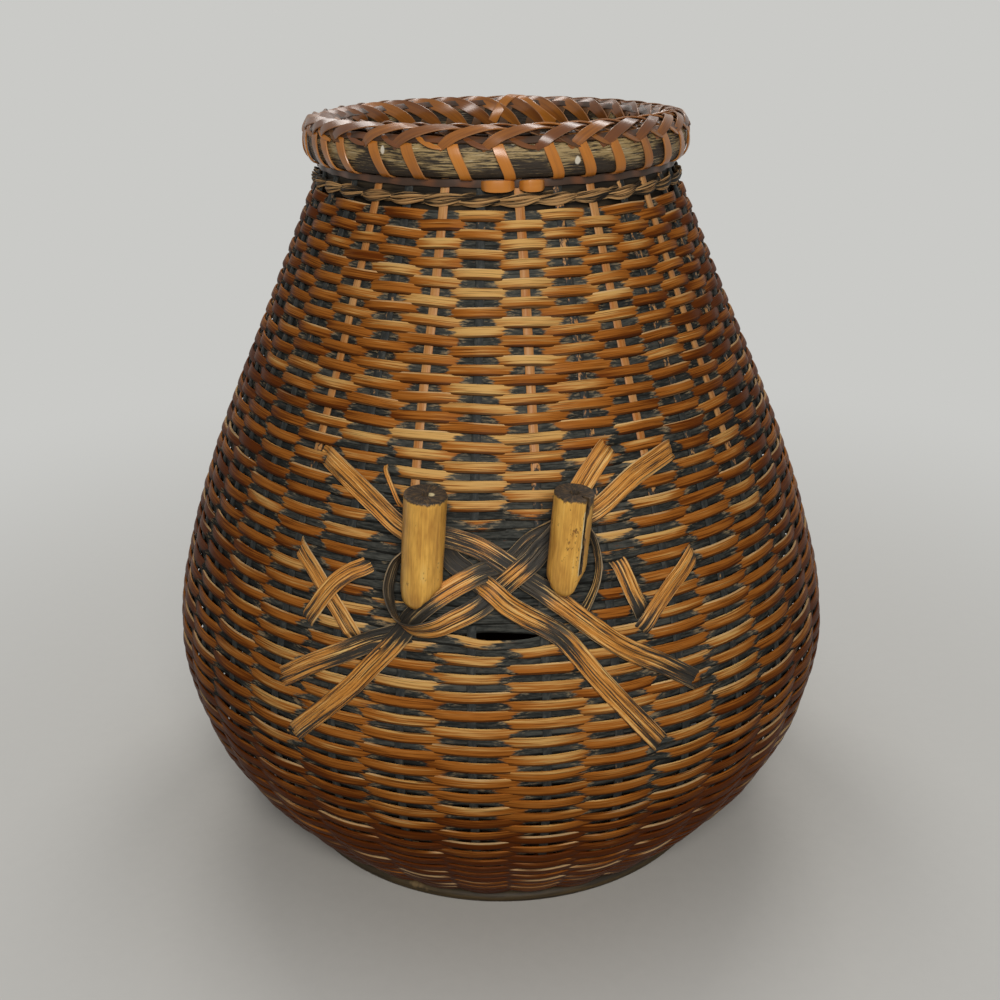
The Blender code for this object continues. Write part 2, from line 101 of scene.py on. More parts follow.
# How proud the weft must stand to be worn to the light wood, by height in millimetres.
WEAR_HEIGHTS = (0.0, 30.0, 60.0, 90.0, 140.0, 200.0, 230.0, 280.0, 300.0)
WEAR_LEVELS = (-1.30, -1.10, -0.62, -0.15, -0.08, 0.0, -0.28, -0.30, -0.25)
# The dark weave round the knot and the straps, and the slit below it, by angle and height.
KNOT_CENTRE = (math.radians(-1.0), 170.0 * MM)
KNOT_REACH = (math.radians(20.0), 23.5 * MM)
STRAP_SHADE_REACH = 6.8 * MM
GAP_CENTRE = (math.radians(0.6), 149.5 * MM)
GAP_REACH = (math.radians(5.5), 11.0 * MM)
GAP_OPENING = 1.5 * MM

# Stakes whose lacquer has worn off in the upper half, by angle.
PALE_STAKES = (-37.1, -15.3, 6.5, 28.3, 50.1)

# Where the wraps cross the outer hoop at the front, in degrees; the rest are even.
WRAP_ANGLES = (-62.1, -55.4, -46.8, -33.8, -23.2, -10.2, 1.7, 15.0, 24.4, 34.2, 45.3, 55.2)

# The twined band: its middle, its rise and depth, its splints' size, how many stakes from the
# front it starts, how often it goes round, and its splints as (sideways, outwards) in millimetres.
TWINE_HEIGHT = 294.9 * MM
TWINE_RADIUS = 74.0 * MM
TWINE_RISE = 0.62 * MM
TWINE_DEPTH = 1.6 * MM
SPLINT_WIDTH = 1.3 * MM
SPLINT_THICKNESS = 0.7 * MM
TWINE_START = 16.0
TWINE_TURNS = 2
TWINE_SAMPLES = 14
TWINE_SPLINTS = ((-1.75, 0.0), (-0.6, 0.35), (0.6, 0.35), (1.75, 0.0))
# The flat strip inside the neck, behind the twine: radius, height, width, thickness.
NECK_LINING = (71.7, 296.0, 15.4, 0.6)

# White chips in the outer rod as (along, across, size) of its grain, in millimetres.
ROD_CHIPS = ((-42.0, 389.2, 1.5), (28.8, 385.9, 1.8))
# The hoops: name, radius, how much more gold shows on the rod, seed and chips.
HOOPS = (("outer", 75.1 * MM, 0.0, 1.0, ROD_CHIPS), ("inner", 67.9 * MM, -0.16, 2.0, ()))
# The ties between the twined band and the outer hoop: angle in degrees and width.
RIM_TIES = ((0.3, 11.5 * MM), (9.9, 8.6 * MM))
TIE_RADIUS = 76.95 * MM
TIE_REACH = 76.0 * MM
TIE_HEIGHT = 300.05 * MM
TIE_WIDTH = 4.5 * MM
TIE_THICKNESS = 1.0 * MM

# One wrap of the lashing as (sideways, radius, height) in millimetres, from under the hoop.
WRAP_LINE = ((2.6, 70.6, 301.9), (2.6, 73.6, 301.9), (2.5, 76.3, 302.6), (2.1, 77.7, 304.4),
             (1.2, 78.4, 306.7), (0.1, 78.6, 309.3), (-1.0, 78.4, 311.9), (-1.8, 77.7, 314.2),
             (-2.4, 76.4, 316.1), (-2.8, 74.6, 316.9), (-3.0, 71.5, 317.0), (-3.0, 68.4, 316.9),
             (-2.6, 66.6, 316.1), (-1.9, 65.3, 314.2), (-1.0, 64.6, 311.9), (0.0, 64.4, 309.3),
             (1.0, 64.6, 306.7), (1.8, 65.3, 304.4), (2.3, 66.7, 302.6), (2.5, 68.8, 301.9))
# One crescent of the plait, the same way, from the outside of the rim to its middle: where it
# stands up at the front, and where it lies flat at the back.
PLAIT_TALL = ((-6.5, 77.2, 312.9), (-4.2, 78.2, 314.9), (-1.0, 78.2, 317.2), (3.5, 77.0, 319.0),
              (8.5, 75.0, 320.0), (13.0, 72.6, 319.9), (17.0, 70.2, 318.8), (20.0, 68.4, 317.8))
PLAIT_FLAT = ((-6.5, 76.6, 314.6), (-4.0, 76.9, 315.7), (-0.5, 76.4, 316.7), (3.5, 75.4, 317.1),
              (8.5, 73.6, 317.3), (13.0, 71.6, 317.3), (17.0, 69.6, 317.1), (20.0, 68.0, 316.7))
# One crescent of the inner plait at the back, which hangs down over the inner hoop, and one of
# the short strands that show under the plait at the front.
PLAIT_HANG = ((-15.0, 79.3, 306.2), (-11.0, 79.4, 309.6), (-6.0, 78.9, 312.8), (-0.5, 77.7, 315.4),
              (5.5, 75.6, 317.0), (11.0, 72.9, 317.4), (16.0, 70.2, 317.2), (20.0, 68.0, 316.7))
PLAIT_UNDER = ((1.0, 75.6, 317.4), (3.0, 77.2, 316.4), (5.5, 78.0, 315.0), (8.5, 78.2, 313.8),
               (11.5, 77.7, 313.2))
# The radius at which their sideways places are measured, and the heights from which the plait's
# strips and those that end it turn their faces away.
RIM_REACH = 75.0 * MM
PLAIT_LEVEL = 313.5 * MM
REVERSE_LEVEL = 312.5 * MM
LASHING_THICKNESS = 0.75 * MM
REVERSE_THICKNESS = 0.7 * MM
UNDER_WIDTH = 2.1 * MM
UNDER_THICKNESS = 0.6 * MM
PAD_WIDTH = 2.9 * MM
PAD_THICKNESS = 0.9 * MM

# Dark strands under the plait as (radius, height, outward tilt), lengths in millimetres.
RIM_PADS = ((76.9, 316.0, 0.75), (66.1, 316.0, -0.75), (73.1, 300.6, 1.0), (69.7, 300.0, -1.0))
# The strips that end the plait at the back, as PLAIT_TALL gives lines, with their widths.
REVERSE_STRIPS = ((((-7.0, 73.0, 318.0), (-11.0, 69.4, 318.4), (-15.0, 66.2, 317.0),
                    (-21.0, 64.0, 313.8), (-27.0, 63.1, 310.8), (-33.0, 62.9, 307.8)), 4.6),
                  (((-15.0, 76.6, 315.8), (-13.0, 75.0, 317.6), (-10.5, 71.5, 318.9),
                    (-7.0, 67.4, 318.4), (-3.5, 64.8, 315.8), (-0.5, 63.4, 312.0),
                    (2.0, 62.9, 308.2)), 4.2))

# The two pegs: name, angle, foot share of the wall, length, radius, pith radius, stand-off and
# side lean, and the lean of both towards the front.
PEGS = (("peg_left", -11.9, 0.5585, 44.6, 7.4, 1.6, 6.3, 5.5),
        ("peg_right", 9.3, 0.5755, 39.2, 7.0, 1.9, 7.6, 3.8))
PEG_TILT = math.radians(4.0)
PEG_TIP = 9.0 * MM
SPLIT_PEG = "peg_right"
SPLIT_TURN = math.radians(30.0)
CRACK_WIDTH = 1.9 * MM
CRACK_DEPTH = 4.6 * MM
# How the pegs are whittled at the foot: (side, where the cut starts, how far up it runs), as
# shares of the radius and in millimetres.
PEG_CUTS = {"peg_left": ((1, -0.25, 9.0), (-1, 0.45, 5.5)),
            "peg_right": ((1, -0.05, 12.0), (-1, 0.30, 5.0))}
PEG_FOOT = ((0.0, 0.40), (0.02, 0.52), (0.06, 0.62), (0.12, 0.72), (0.25, 0.85), (0.4, 0.93),
            (0.7, 0.98), (1.0, 1.0))

# The foot rod and the woven bottom.
FOOT_RADIUS = 100.1 * MM
FOOT_WIDTH = 7.4 * MM
FOOT_DEPTH = 6.0 * MM
MAT_STRIPS = 21
MAT_PITCH = 9.0 * MM
MAT_WIDTH = 8.0 * MM
MAT_THICKNESS = 1.05 * MM
MAT_LEVEL = 4.72 * MM
MAT_LIFT = 0.62 * MM
MAT_REACH = 95.3 * MM
MAT_CORNER = 4.1 * MM
MAT_SHORTEST = 6.0 * MM

# The water liner, and its side as (height over its foot, inset) in millimetres.
LINER_FOOT = 7.6 * MM
LINER_TOP = 192.6 * MM
LINER_RADIUS = 45.0 * MM
LINER_WALL = 1.2 * MM
LINER_BEAD = 1.3 * MM
LINER_PROFILE = ((0.0, 1.6), (0.4, 0.5), (1.4, 0.0), (5.0, 0.0), (5.6, 0.6), (6.2, 0.0),
                 (40.0, 0.0), (80.0, 0.0), (120.0, 0.0), (150.0, 0.0), (176.0, 0.0),
                 (176.6, 0.5), (177.2, 0.0), (181.6, 0.0))

# Lamps as (name, place, aim, size, power, colour), and the camera of the photograph.
LAMPS = (("key", (0.04, -0.72, 0.54), (0.0, -0.10, 0.20), 0.26, 3.65, (1.0, 0.97, 0.93)),
         ("back_left", (-0.37, 0.74, 1.08), (0.0, 0.0, 0.15), 0.5, 4.0, (1.0, 0.98, 0.95)),
         ("back_right", (0.37, 0.74, 1.08), (0.0, 0.0, 0.15), 0.5, 4.0, (1.0, 0.98, 0.95)))
CAMERA_PLACE = (0.0, -0.5183, 0.3669)
CAMERA_TILT = math.radians(66.92)
CAMERA_ROLL = math.radians(-0.59)
CAMERA_LENS = 43.72

# How far the straps settle into the weave, how deep their ends are tucked, and how far they run
# on there.
STRAP_SETTLE = 0.6 * MM
STRAP_TUCK = -2.4 * MM
STRAP_OVERRUN = 2.0 * MM

# A fibre split off a strap, and its width.
SPLINTERED = {"splinter": "knot_strap_1"}
SPLINTER_WIDTH = 1.5 * MM

# Straps as (angle in degrees, height, lift, wear) and a twist in degrees where there is one,
# lengths in millimetres.
STRAPS = {
    "splinter": (
        (-21.3, 206.6, -0.8, 0.9), (-20.7, 204.5, 0.9, 1.0), (-19.0, 199.4, 1.6, 1.0),
        (-17.6, 194.6, 1.1, 0.9), (-17.1, 192.8, -0.8, 0.6)),
    "knot_strap_1": (
        (-35.0, 206.3, -0.8, 0.75), (-32.5, 204.9, 0.6, 0.9), (-27.3, 199.8, 1.0, 0.95),
        (-21.7, 193.1, 1.2, 0.85), (-16.9, 186.7, 1.6, 0.7), (-12.3, 183.6, 2.6, 0.5),
        (-9.5, 184.6, 3.2, 0.35), (-7.1, 183.9, 3.4, 0.4), (-3.2, 181.2, 4.0, 0.6),
        (0.8, 176.0, 4.6, 0.35), (3.6, 171.1, 3.0, 0.1), (6.3, 167.0, 2.9, 0.25),
        (8.9, 162.3, 3.0, 0.6), (12.6, 155.0, 2.4, 0.75), (18.5, 143.7, 1.6, 0.85),
        (24.4, 135.2, 1.0, 0.6), (29.0, 127.4, 0.7, 0.3), (31.5, 123.0, -0.8, 0.1)),
    "knot_strap_2": (
        (34.8, 206.9, -0.8, 0.7), (32.5, 206.4, 0.6, 0.95), (24.5, 201.1, 1.0, 1.0),
        (16.4, 191.8, 1.6, 0.8), (12.4, 188.9, 1.4, 0.4), (8.4, 186.0, 1.6, 0.25),
        (5.1, 183.0, 2.0, 0.35), (1.9, 177.0, 2.4, 0.1), (-0.6, 174.7, 3.4, 0.05),
        (-2.8, 173.5, 4.9, 0.15), (-5.2, 170.8, 6.0, 0.6), (-6.6, 169.0, 6.8, 0.85),
        (-8.5, 166.2, 7.6, 0.7), (-10.3, 163.2, 7.8, 0.25), (-11.8, 160.2, 6.8, 0.1),
        (-13.4, 156.5, 4.6, 0.1), (-14.9, 151.2, 2.2, 0.2), (-16.5, 146.3, 1.3, 0.6),
        (-19.4, 138.3, 1.0, 0.9), (-22.7, 128.5, 1.0, 0.9), (-27.4, 116.6, 1.0, 0.8),
        (-31.5, 106.4, 0.6, 0.7), (-33.4, 101.3, -0.8, 0.5)),
    "knot_strap_3": (
        (21.2, 212.6, -0.8, 0.6), (19.7, 211.0, 0.6, 0.9), (16.9, 205.8, 1.0, 0.95),
        (14.4, 200.5, 1.4, 0.9), (12.2, 195.1, 2.6, 0.5), (9.6, 186.7, 3.7, 0.15),
        (7.6, 182.6, 4.4, 0.1), (6.5, 180.8, 4.8, 0.1), (4.8, 177.0, 5.6, 0.2),
        (2.3, 172.6, 5.4, 0.75), (0.0, 168.3, 4.0, 0.3), (-1.5, 165.1, 3.2, 0.1, 2),
        (-2.9, 162.3, 3.6, 0.2, 5), (-5.0, 159.4, 4.4, 0.6, 10), (-7.1, 157.0, 5.4, 0.8, 18),
        (-9.2, 154.6, 6.6, 0.75, 28), (-11.4, 153.4, 7.2, 0.7, 40), (-13.2, 153.6, 7.4, 0.6, 56),
        (-14.8, 155.6, 7.4, 0.4, 74), (-16.0, 159.4, 7.2, 0.3, 88), (-16.9, 165.3, 6.6, 0.2, 98),
        (-16.8, 170.8, 6.2, 0.2, 100), (-16.3, 175.1, 5.6, 0.2, 96), (-15.5, 177.9, 4.2, 0.2, 88),
        (-15.1, 179.3, 3.2, 0.2, 84)),
    "knot_strap_4": (
        (-11.3, 185.1, 0.9, 0.1), (-9.4, 180.6, 1.6, 0.1), (-7.6, 176.7, 2.6, 0.1),
        (-5.3, 173.1, 2.8, 0.15), (-3.5, 170.5, 3.4, 0.3), (-1.8, 168.1, 5.4, 0.75),
        (-0.6, 165.8, 5.6, 0.8), (1.0, 162.4, 4.2, 0.7), (3.6, 158.4, 2.4, 0.7),
        (6.2, 154.9, 1.5, 0.5), (8.8, 150.9, 1.2, 0.3), (10.8, 145.6, 1.0, 0.6),
        (14.3, 134.0, 1.0, 0.9), (18.6, 120.5, 1.0, 0.8), (22.7, 107.2, 0.6, 0.6),
        (24.2, 102.3, -0.8, 0.4)),
    "knot_strap_5": (
        (-14.8, 150.6, 0.8, 0.1), (-16.6, 149.1, 0.9, 0.2), (-19.8, 146.3, 1.0, 0.3),
        (-24.0, 140.9, 1.0, 0.5), (-29.9, 133.0, 1.0, 0.8), (-34.6, 125.3, 0.6, 0.8),
        (-36.5, 122.1, -0.8, 0.6)),
    "knot_loop_right": (
        (14.5, 185.1, 2.2, 0.1, -60), (14.9, 182.8, 3.4, 0.2, -72), (15.3, 177.6, 4.2, 0.3, -78),
        (15.3, 172.7, 4.2, 0.3, -80), (14.6, 167.2, 4.0, 0.3, -78), (13.6, 162.2, 2.8, 0.25, -70),
        (12.9, 159.0, 1.4, 0.2, -56), (12.4, 157.5, 0.8, 0.1, -50)),
    "accent_left_straight": (
        (-36.7, 173.2, -0.6, 0.4), (-35.1, 171.9, 0.6, 0.8), (-31.8, 166.5, 0.9, 0.9),
        (-28.7, 160.2, 1.0, 0.9), (-26.1, 154.6, 1.0, 0.8), (-23.7, 148.4, 0.6, 0.7),
        (-23.3, 145.9, -0.6, 0.5)),
    "accent_left_arched": (
        (-21.7, 172.9, -0.6, 0.5), (-22.6, 171.3, 0.6, 0.8), (-24.6, 168.9, 1.6, 0.95),
        (-26.7, 164.8, 2.3, 1.0), (-28.6, 159.3, 2.3, 0.95), (-30.4, 153.3, 1.4, 0.8),
        (-31.6, 149.4, 0.5, 0.6), (-32.4, 147.0, -0.6, 0.4)),
    "accent_right_inner": (
        (19.1, 174.9, -0.6, 0.3), (19.5, 172.5, 0.6, 0.7), (20.3, 167.2, 1.0, 0.85),
        (21.1, 161.7, 1.0, 0.7), (22.1, 156.2, 0.6, 0.3), (22.9, 152.8, -0.6, 0.1)),
    "accent_right_outer": (
        (34.5, 170.7, -0.6, 0.3), (33.0, 169.4, 0.6, 0.7), (30.7, 165.8, 1.3, 0.85),
        (27.6, 161.1, 1.6, 0.95), (24.7, 155.2, 1.2, 0.9), (22.6, 149.9, 0.6, 0.6),
        (21.7, 147.0, -0.6, 0.2)),
}


def tint(red, green, blue):
    """A colour as a screen shows it, 0 to 255, in the renderer's linear light."""
    shares = [channel / 255.0 for channel in (red, green, blue)]
    return tuple(c / 12.92 if c <= 0.04045 else ((c + 0.055) / 1.055) ** 2.4 for c in shares)


def dim(colour, share):
    """A darker colour of the same hue."""
    return tuple(channel * share for channel in colour)


def read_curve(places, values, at):
    """Smooth curve through a table: cubic pieces whose slopes follow the neighbours."""
    places, values = np.asarray(places, float), np.asarray(values, float)
    at = np.clip(at, places[0], places[-1])
    last = len(places) - 1
    low, high = np.maximum(np.arange(last + 1) - 1, 0), np.minimum(np.arange(last + 1) + 1, last)
    slopes = (values[high] - values[low]) / (places[high] - places[low])
    i = np.clip(np.searchsorted(places, at, side="right") - 1, 0, last - 1)
    span = places[i + 1] - places[i]
    t = (at - places[i]) / span
    return ((2 * t**3 - 3 * t**2 + 1) * values[i] + (t**3 - 2 * t**2 + t) * span * slopes[i]
            + (3 * t**2 - 2 * t**3) * values[i + 1] + (t**3 - t**2) * span * slopes[i + 1])


def ramp(value, low, high):
    """0 up to low, 1 from high, straight between; low may be the greater of the two."""
    return np.clip((value - low) / (high - low), 0.0, 1.0)


def bell(value):
    """1 at zero, falling away smoothly to nothing on both sides."""
    return np.exp(-value ** 2)


def dice(number, seed):
    """A fixed random value from -1 to 1 for a whole number."""
    value = np.sin(np.asarray(number, float) * 12.9898 + seed * 78.233) * 43758.5453
    return 2.0 * (value - np.floor(value)) - 1.0


def wander(x, seed):
    """A smooth random curve from -1 to 1 that changes once for each whole step of x."""
    x = np.asarray(x, float)
    base = np.floor(x)
    t = x - base
    t = t * t * (3.0 - 2.0 * t)
    return dice(base, seed) * (1.0 - t) + dice(base + 1.0, seed) * t


def drift(angle, height, seed, turns, length):
    """A smooth random field round the wall that closes on itself, about -1 to 1."""
    total = np.zeros(np.broadcast(angle, height).shape)
    for k in range(6):
        around = np.round(turns * (0.4 + 0.35 * k))
        along = TURN / length * (0.5 + 0.25 * abs(dice(k, seed))) * (1 if k % 2 else -1)
        total += np.sin(around * angle + along * height + 9.0 * dice(k + 17, seed))
    return total / 3.0


def wrap_angle(angle):
    """The same angle between minus and plus half a turn."""
    return np.mod(angle + math.pi, TURN) - math.pi


def unit(vectors):
    """The same vectors with a length of one."""
    return vectors / np.maximum(np.linalg.norm(vectors, axis=-1, keepdims=True), 1e-12)


def way_along(points):
    """How far along a line each of its points lies."""
    steps = np.linalg.norm(np.diff(points, axis=0), axis=1)
    return np.concatenate([[0.0], np.cumsum(steps)])


def ring_point(angle, out, up):
    """A point or a direction from its angle, which runs from the front to the right."""
    angle, out, up = np.broadcast_arrays(angle, out, up)
    return np.stack([out * np.sin(angle), -out * np.cos(angle), up], -1)


def wall_radius(height):
    """Outside radius of the woven wall at a height."""
    heights = np.array(WALL_HEIGHT_SHARES) * WALL_TOP
    return read_curve(heights, np.array(WALL_RADIUS_SHARES) * BELLY_RADIUS, height)


def wall_lean(height):
    """Angle by which the wall's outward normal dips below the horizontal."""
    step = 0.3 * MM
    return np.arctan((wall_radius(height + step) - wall_radius(height - step)) / (2 * step))


def wall_normal(angle, height):
    """The wall's outward normal."""
    lean = wall_lean(height)
    return ring_point(angle, np.cos(lean), -np.sin(lean))


def wall_point(angle, height, lift):
    """A point off the wall's outside by a lift along its normal."""
    off = wall_normal(angle, height) * np.asarray(lift)[..., None]
    return ring_point(angle, wall_radius(height), height) + off


def lean_faces(centres, facings, twist):
    """Facings turned about the way of travel: positive towards the left-hand side."""
    side = unit(np.cross(unit(np.gradient(centres, axis=0)), facings))
    twist = np.asarray(twist)[..., None]
    return facings * np.cos(twist) - side * np.sin(twist)


def write_mark(mesh, name, values, domain="POINT"):
    """Store a number or a vector with each point or corner, for a finish to read."""
    kind, field = ("FLOAT_VECTOR", "vector") if np.ndim(values) == 2 else ("FLOAT", "value")
    mesh.attributes.new(name, kind, domain).data.foreach_set(field, np.ravel(values))


class Bundle:
    """Gathers strips that make one piece, with what their finish reads from each point."""

    def __init__(self):
        self.points, self.quads, self.caps, self.grain, self.marks = [], [], [], [], {}
        self.count = 0

    def add(self, centres, facings, width, thickness, section=STRIP_SECTION, closed=False,
            seed=0.0, **marks):
        """Sweep a section along a line. Width, thickness and marks may change along it."""
        n = len(centres)
        shape = np.asarray(section, float)
        if shape.ndim == 2:
            shape = np.repeat(shape[None], n, 0)
        m = shape.shape[1]
        if closed:
            ahead = unit(np.roll(centres, -1, 0) - np.roll(centres, 1, 0))
        else:
            ahead = unit(np.gradient(centres, axis=0))
        side = unit(np.cross(ahead, facings))
        face = np.cross(side, ahead)
        across = shape[..., 0] * np.broadcast_to(width / 2.0, (n,))[:, None]
        rise = shape[..., 1] * thickness / 2.0
        off = side[:, None] * across[..., None] + face[:, None] * rise[..., None]
        self.points.append((centres[:, None] + off).reshape(-1, 3))
        i, j = np.arange(n if closed else n - 1)[:, None], np.arange(m)
        here, after, beside = i * m, (i + 1) % n * m, (j + 1) % m
        quads = np.stack([here + j, after + j, after + beside, here + beside], -1)
        self.quads.append(quads.reshape(-1, 4) + self.count)
        if not closed:
            self.caps.append((j + self.count).tolist())
            self.caps.append((j[::-1] + self.count + (n - 1) * m).tolist())
        along = np.repeat(way_along(centres)[:, None], m, 1)
        grain = np.stack([along, across + rise * 0.3, np.full((n, m), seed * 0.37)], -1)
        self.grain.append(grain.reshape(-1, 3))
        for name, values in marks.items():
            values = np.asarray(values, float)
            values = values[:, None] if values.ndim == 1 else values
            spread = np.broadcast_to(values, (n, m)).reshape(-1)
            self.marks.setdefault(name, []).append((self.count, spread))
        self.count += n * m

    def build(self, name, finish, slot, *nodes):
        """Make the piece's mesh, give it its finish, hang it on its body and hide the frame's parts
        that it stands for.
        """
        faces = np.concatenate(self.quads).tolist() + self.caps
        mesh = bpy.data.meshes.new(name)
        mesh.from_pydata(np.concatenate(self.points).tolist(), [], faces)
        write_mark(mesh, "grain", np.concatenate(self.grain))
        for mark, runs in self.marks.items():
            values = np.zeros(self.count)
            for start, spread in runs:
                values[start:start + len(spread)] = spread
            write_mark(mesh, mark, values)
        mesh.update()
        obj = bpy.data.objects.new(name, mesh)
        bpy.context.scene.collection.objects.link(obj)
        finish_piece(obj, finish, "basket", slot, *nodes)


def select_only(obj):
    """Select one object and nothing else."""
    bpy.ops.object.select_all(action="DESELECT")
    obj.select_set(True)
    bpy.context.view_layer.objects.active = obj


def finish_piece(obj, finish, body, slot, *nodes, smooth=40.0):
    """Shade, colour and place a finished piece on its body."""
    select_only(obj)
    bpy.ops.object.shade_smooth_by_angle(angle=math.radians(smooth))
    obj.data.materials.clear()
    obj.data.materials.append(finish)
    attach(obj, body)
    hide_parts(*nodes)
    obj.select_set(False)


def start_mesh(name, maker, **settings):
    """Add a primitive on a clean selection, name it and open it for editing."""
    bpy.ops.object.select_all(action="DESELECT")
    maker(**settings)
    obj = bpy.context.object
    obj.name = name
    obj.data.name = name
    bpy.ops.object.mode_set(mode="EDIT")
    return obj


def close_mesh(turn_out=False):
    """Leave edit mode with the object's place put into its mesh, its faces turned out if asked."""
    if turn_out:
        bpy.ops.mesh.select_all(action="SELECT")
        bpy.ops.mesh.normals_make_consistent(inside=False)
    bpy.ops.object.mode_set(mode="OBJECT")
    bpy.ops.object.transform_apply(location=True, rotation=True, scale=True)


def grow(rise, scale, height):
    """Extrude the selected face upwards and draw it in or out at its new height."""
    bpy.ops.mesh.extrude_region_move(TRANSFORM_OT_translate={"value": (0.0, 0.0, rise)})
    bpy.ops.transform.resize(value=(scale, scale, 1.0), center_override=(0.0, 0.0, height))


def grow_profile(steps, base=0.0):
    """Extrude the selected face along a profile of heights over its base, with their radii."""
    for (low, small), (high, large) in zip(steps, steps[1:]):
        grow(high - low, large / small, base + high)


def bend_ring(name, radius, width, depth, height, around, across):
    """A rod bent to a ring at a height, as wide and as deep as asked."""
    ring = start_mesh(name, bpy.ops.mesh.primitive_torus_add, major_radius=radius,
                      minor_radius=width / 2.0, major_segments=around, minor_segments=across,
                      location=(0.0, 0.0, height))
    bpy.ops.transform.resize(value=(1.0, 1.0, depth / width), center_override=(0.0, 0.0, height))
    close_mesh()
    return ring


def mark_rounds(obj, radius_of, seed, upright=False):
    """Write the grain of a piece turned round the upright axis: along, across, seed."""
    mesh = obj.data
    count = len(mesh.loops)
    vertex = np.empty(count, int)
    mesh.loops.foreach_get("vertex_index", vertex)
    x, y, z = read_points(mesh)[:, vertex]
    middles = np.zeros((count, 2))
    for face in mesh.polygons:
        middles[face.loop_start:face.loop_start + face.loop_total] = face.center[:2]
    facing = np.arctan2(middles[:, 0], -middles[:, 1])
    angle = facing + wrap_angle(np.arctan2(x, -y) - facing)
    grain = [angle * radius_of, z + np.hypot(x, y), np.full(count, seed)]
    if upright:
        grain[:2] = grain[1], grain[0]
    write_mark(mesh, "grain", np.stack(grain, -1), "CORNER")


def read_points(mesh):
    """The x, y and z of a mesh's points."""
    places = np.empty(len(mesh.vertices) * 3)
    mesh.vertices.foreach_get("co", places)
    return places.reshape(-1, 3).T


class Nodes:
    """The nodes of a finish or of the surroundings, each made by what it does."""

    def __init__(self, owner):
        owner.use_nodes = True
        self.tree = owner.node_tree

    def feed(self, socket, value):
        """Give a socket a value of its own or link it to another node."""
        if isinstance(value, bpy.types.NodeSocket):
            self.tree.links.new(value, socket)
        elif socket.type == "RGBA":
            socket.default_value = (*value, 1.0)
        else:
            socket.default_value = value

    def node(self, kind, feeds, **settings):
        made = self.tree.nodes.new("ShaderNode" + kind)
        for key, value in settings.items():
            setattr(made, key, value)
        for socket, value in feeds:
            self.feed(made.inputs[socket], value)
        return made

    def math(self, operation, a, b=0.0):
        return self.node("Math", ((0, a), (1, b)), operation=operation).outputs[0]

    def times(self, a, b):
        return self.math("MULTIPLY", a, b)

    def most(self, a, b):
        return self.math("MAXIMUM", a, b)

    def seen(self):
        """1 where the camera looks, straight or by a mirror or a glass, 0 for the light cast."""
        rays = self.node("LightPath", ()).outputs
        past = self.most(rays["Is Glossy Ray"], rays["Is Transmission Ray"])
        return self.most(rays["Is Camera Ray"], past)

    def sum(self, *terms):
        """The sum of its terms; a term is a value, or a value and its weight."""
        total, *others = [self.times(*term) if isinstance(term, tuple) else term
                          for term in terms]
        for value in others:
            total = self.math("ADD", total, value)
        return total


class Finish(Nodes):
    """A finish built on the grain of its piece, or on its place if that is asked."""

    def __init__(self, name, by_place=False, **shader):
        self.material = bpy.data.materials.new(name)
        super().__init__(self.material)
        self.shader = self.tree.nodes["Principled BSDF"]
        self.grain = self.place() if by_place else self.mark("grain", "Vector")
        for socket, value in shader.items():
            self.feed(self.shader.inputs[socket.replace("_", " ")], value)

    def mark(self, name, output="Fac"):
        return self.node("Attribute", (), attribute_name=name).outputs[output]

    def place(self):
        return self.node("TexCoord", ()).outputs["Object"]

    def part(self, vector, axis):
        return self.node("SeparateXYZ", ((0, vector),)).outputs[axis]

    def noise(self, scale, detail, rough, shift=0.0):
        """Noise centred on zero, about -0.5 to 0.5, on the stretched grain."""
        moved = self.node("Mapping", (("Vector", self.grain), ("Scale", scale),
                                      ("Location", (shift, shift * 0.7, shift * 1.3))))
        made = self.node("TexNoise", (("Vector", moved.outputs[0]), ("Scale", 1.0),
                                      ("Detail", detail), ("Roughness", rough)))
        return self.sum(made.outputs["Fac"], -0.5)

    def spot(self, centre, size):
        """1 at a centre, 0 at the size from it and beyond, on the piece's own grain."""
        moved = self.node("Mapping", (("Vector", self.grain), ("Location", centre),
                                      ("Scale", size)), vector_type="TEXTURE")
        far = self.node("VectorMath", ((0, moved.outputs[0]),), operation="LENGTH")
        return self.most(self.sum(1.0, (far.outputs["Value"], -1.0)), 0.0)

    def span(self, value, low, high):
        """0 below low, 1 above high, smooth between."""
        made = self.node("MapRange", (("Value", value), ("From Min", low), ("From Max", high)),
                         interpolation_type="SMOOTHSTEP")
        return made.outputs["Result"]

    def slide(self, share, first, second):
        """A number that goes from first to second with a share."""
        made = self.node("MapRange", (("Value", share), ("To Min", first), ("To Max", second)))
        return made.outputs["Result"]

    def blend(self, share, first, second):
        """A colour that goes from first to second with a share."""
        return self.node("Mix", ((0, share), (6, first), (7, second)), data_type="RGBA").outputs[2]

    def cover(self, colour, over, share, strength=1.0):
        """A colour with another over it, where the share is high and as far as the strength."""
        return self.blend(self.times(share, strength), colour, over)

    def done(self, colour, roughness, height, depth, strength):
        """The material, with its colour, its roughness and the relief of a height."""
        bump = self.node("Bump", (("Height", height), ("Distance", depth), ("Strength", strength)))
        for socket, value in (("Base Color", colour), ("Roughness", roughness),
                              ("Normal", bump.outputs[0])):
            self.feed(self.shader.inputs[socket], value)
        return self.material


def length_property(name, description, value):
    """A length that the user can change."""
    return bpy.props.FloatProperty(name=name, description=description, default=value, min=0.0,
                                   max=0.5, precision=5, unit="LENGTH", subtype="DISTANCE")


def colour_property(name, description, value):
    """A colour that the user can change."""
    return bpy.props.FloatVectorProperty(name=name, description=description, default=value,
                                         size=3, min=0.0, max=1.0, subtype="COLOR")


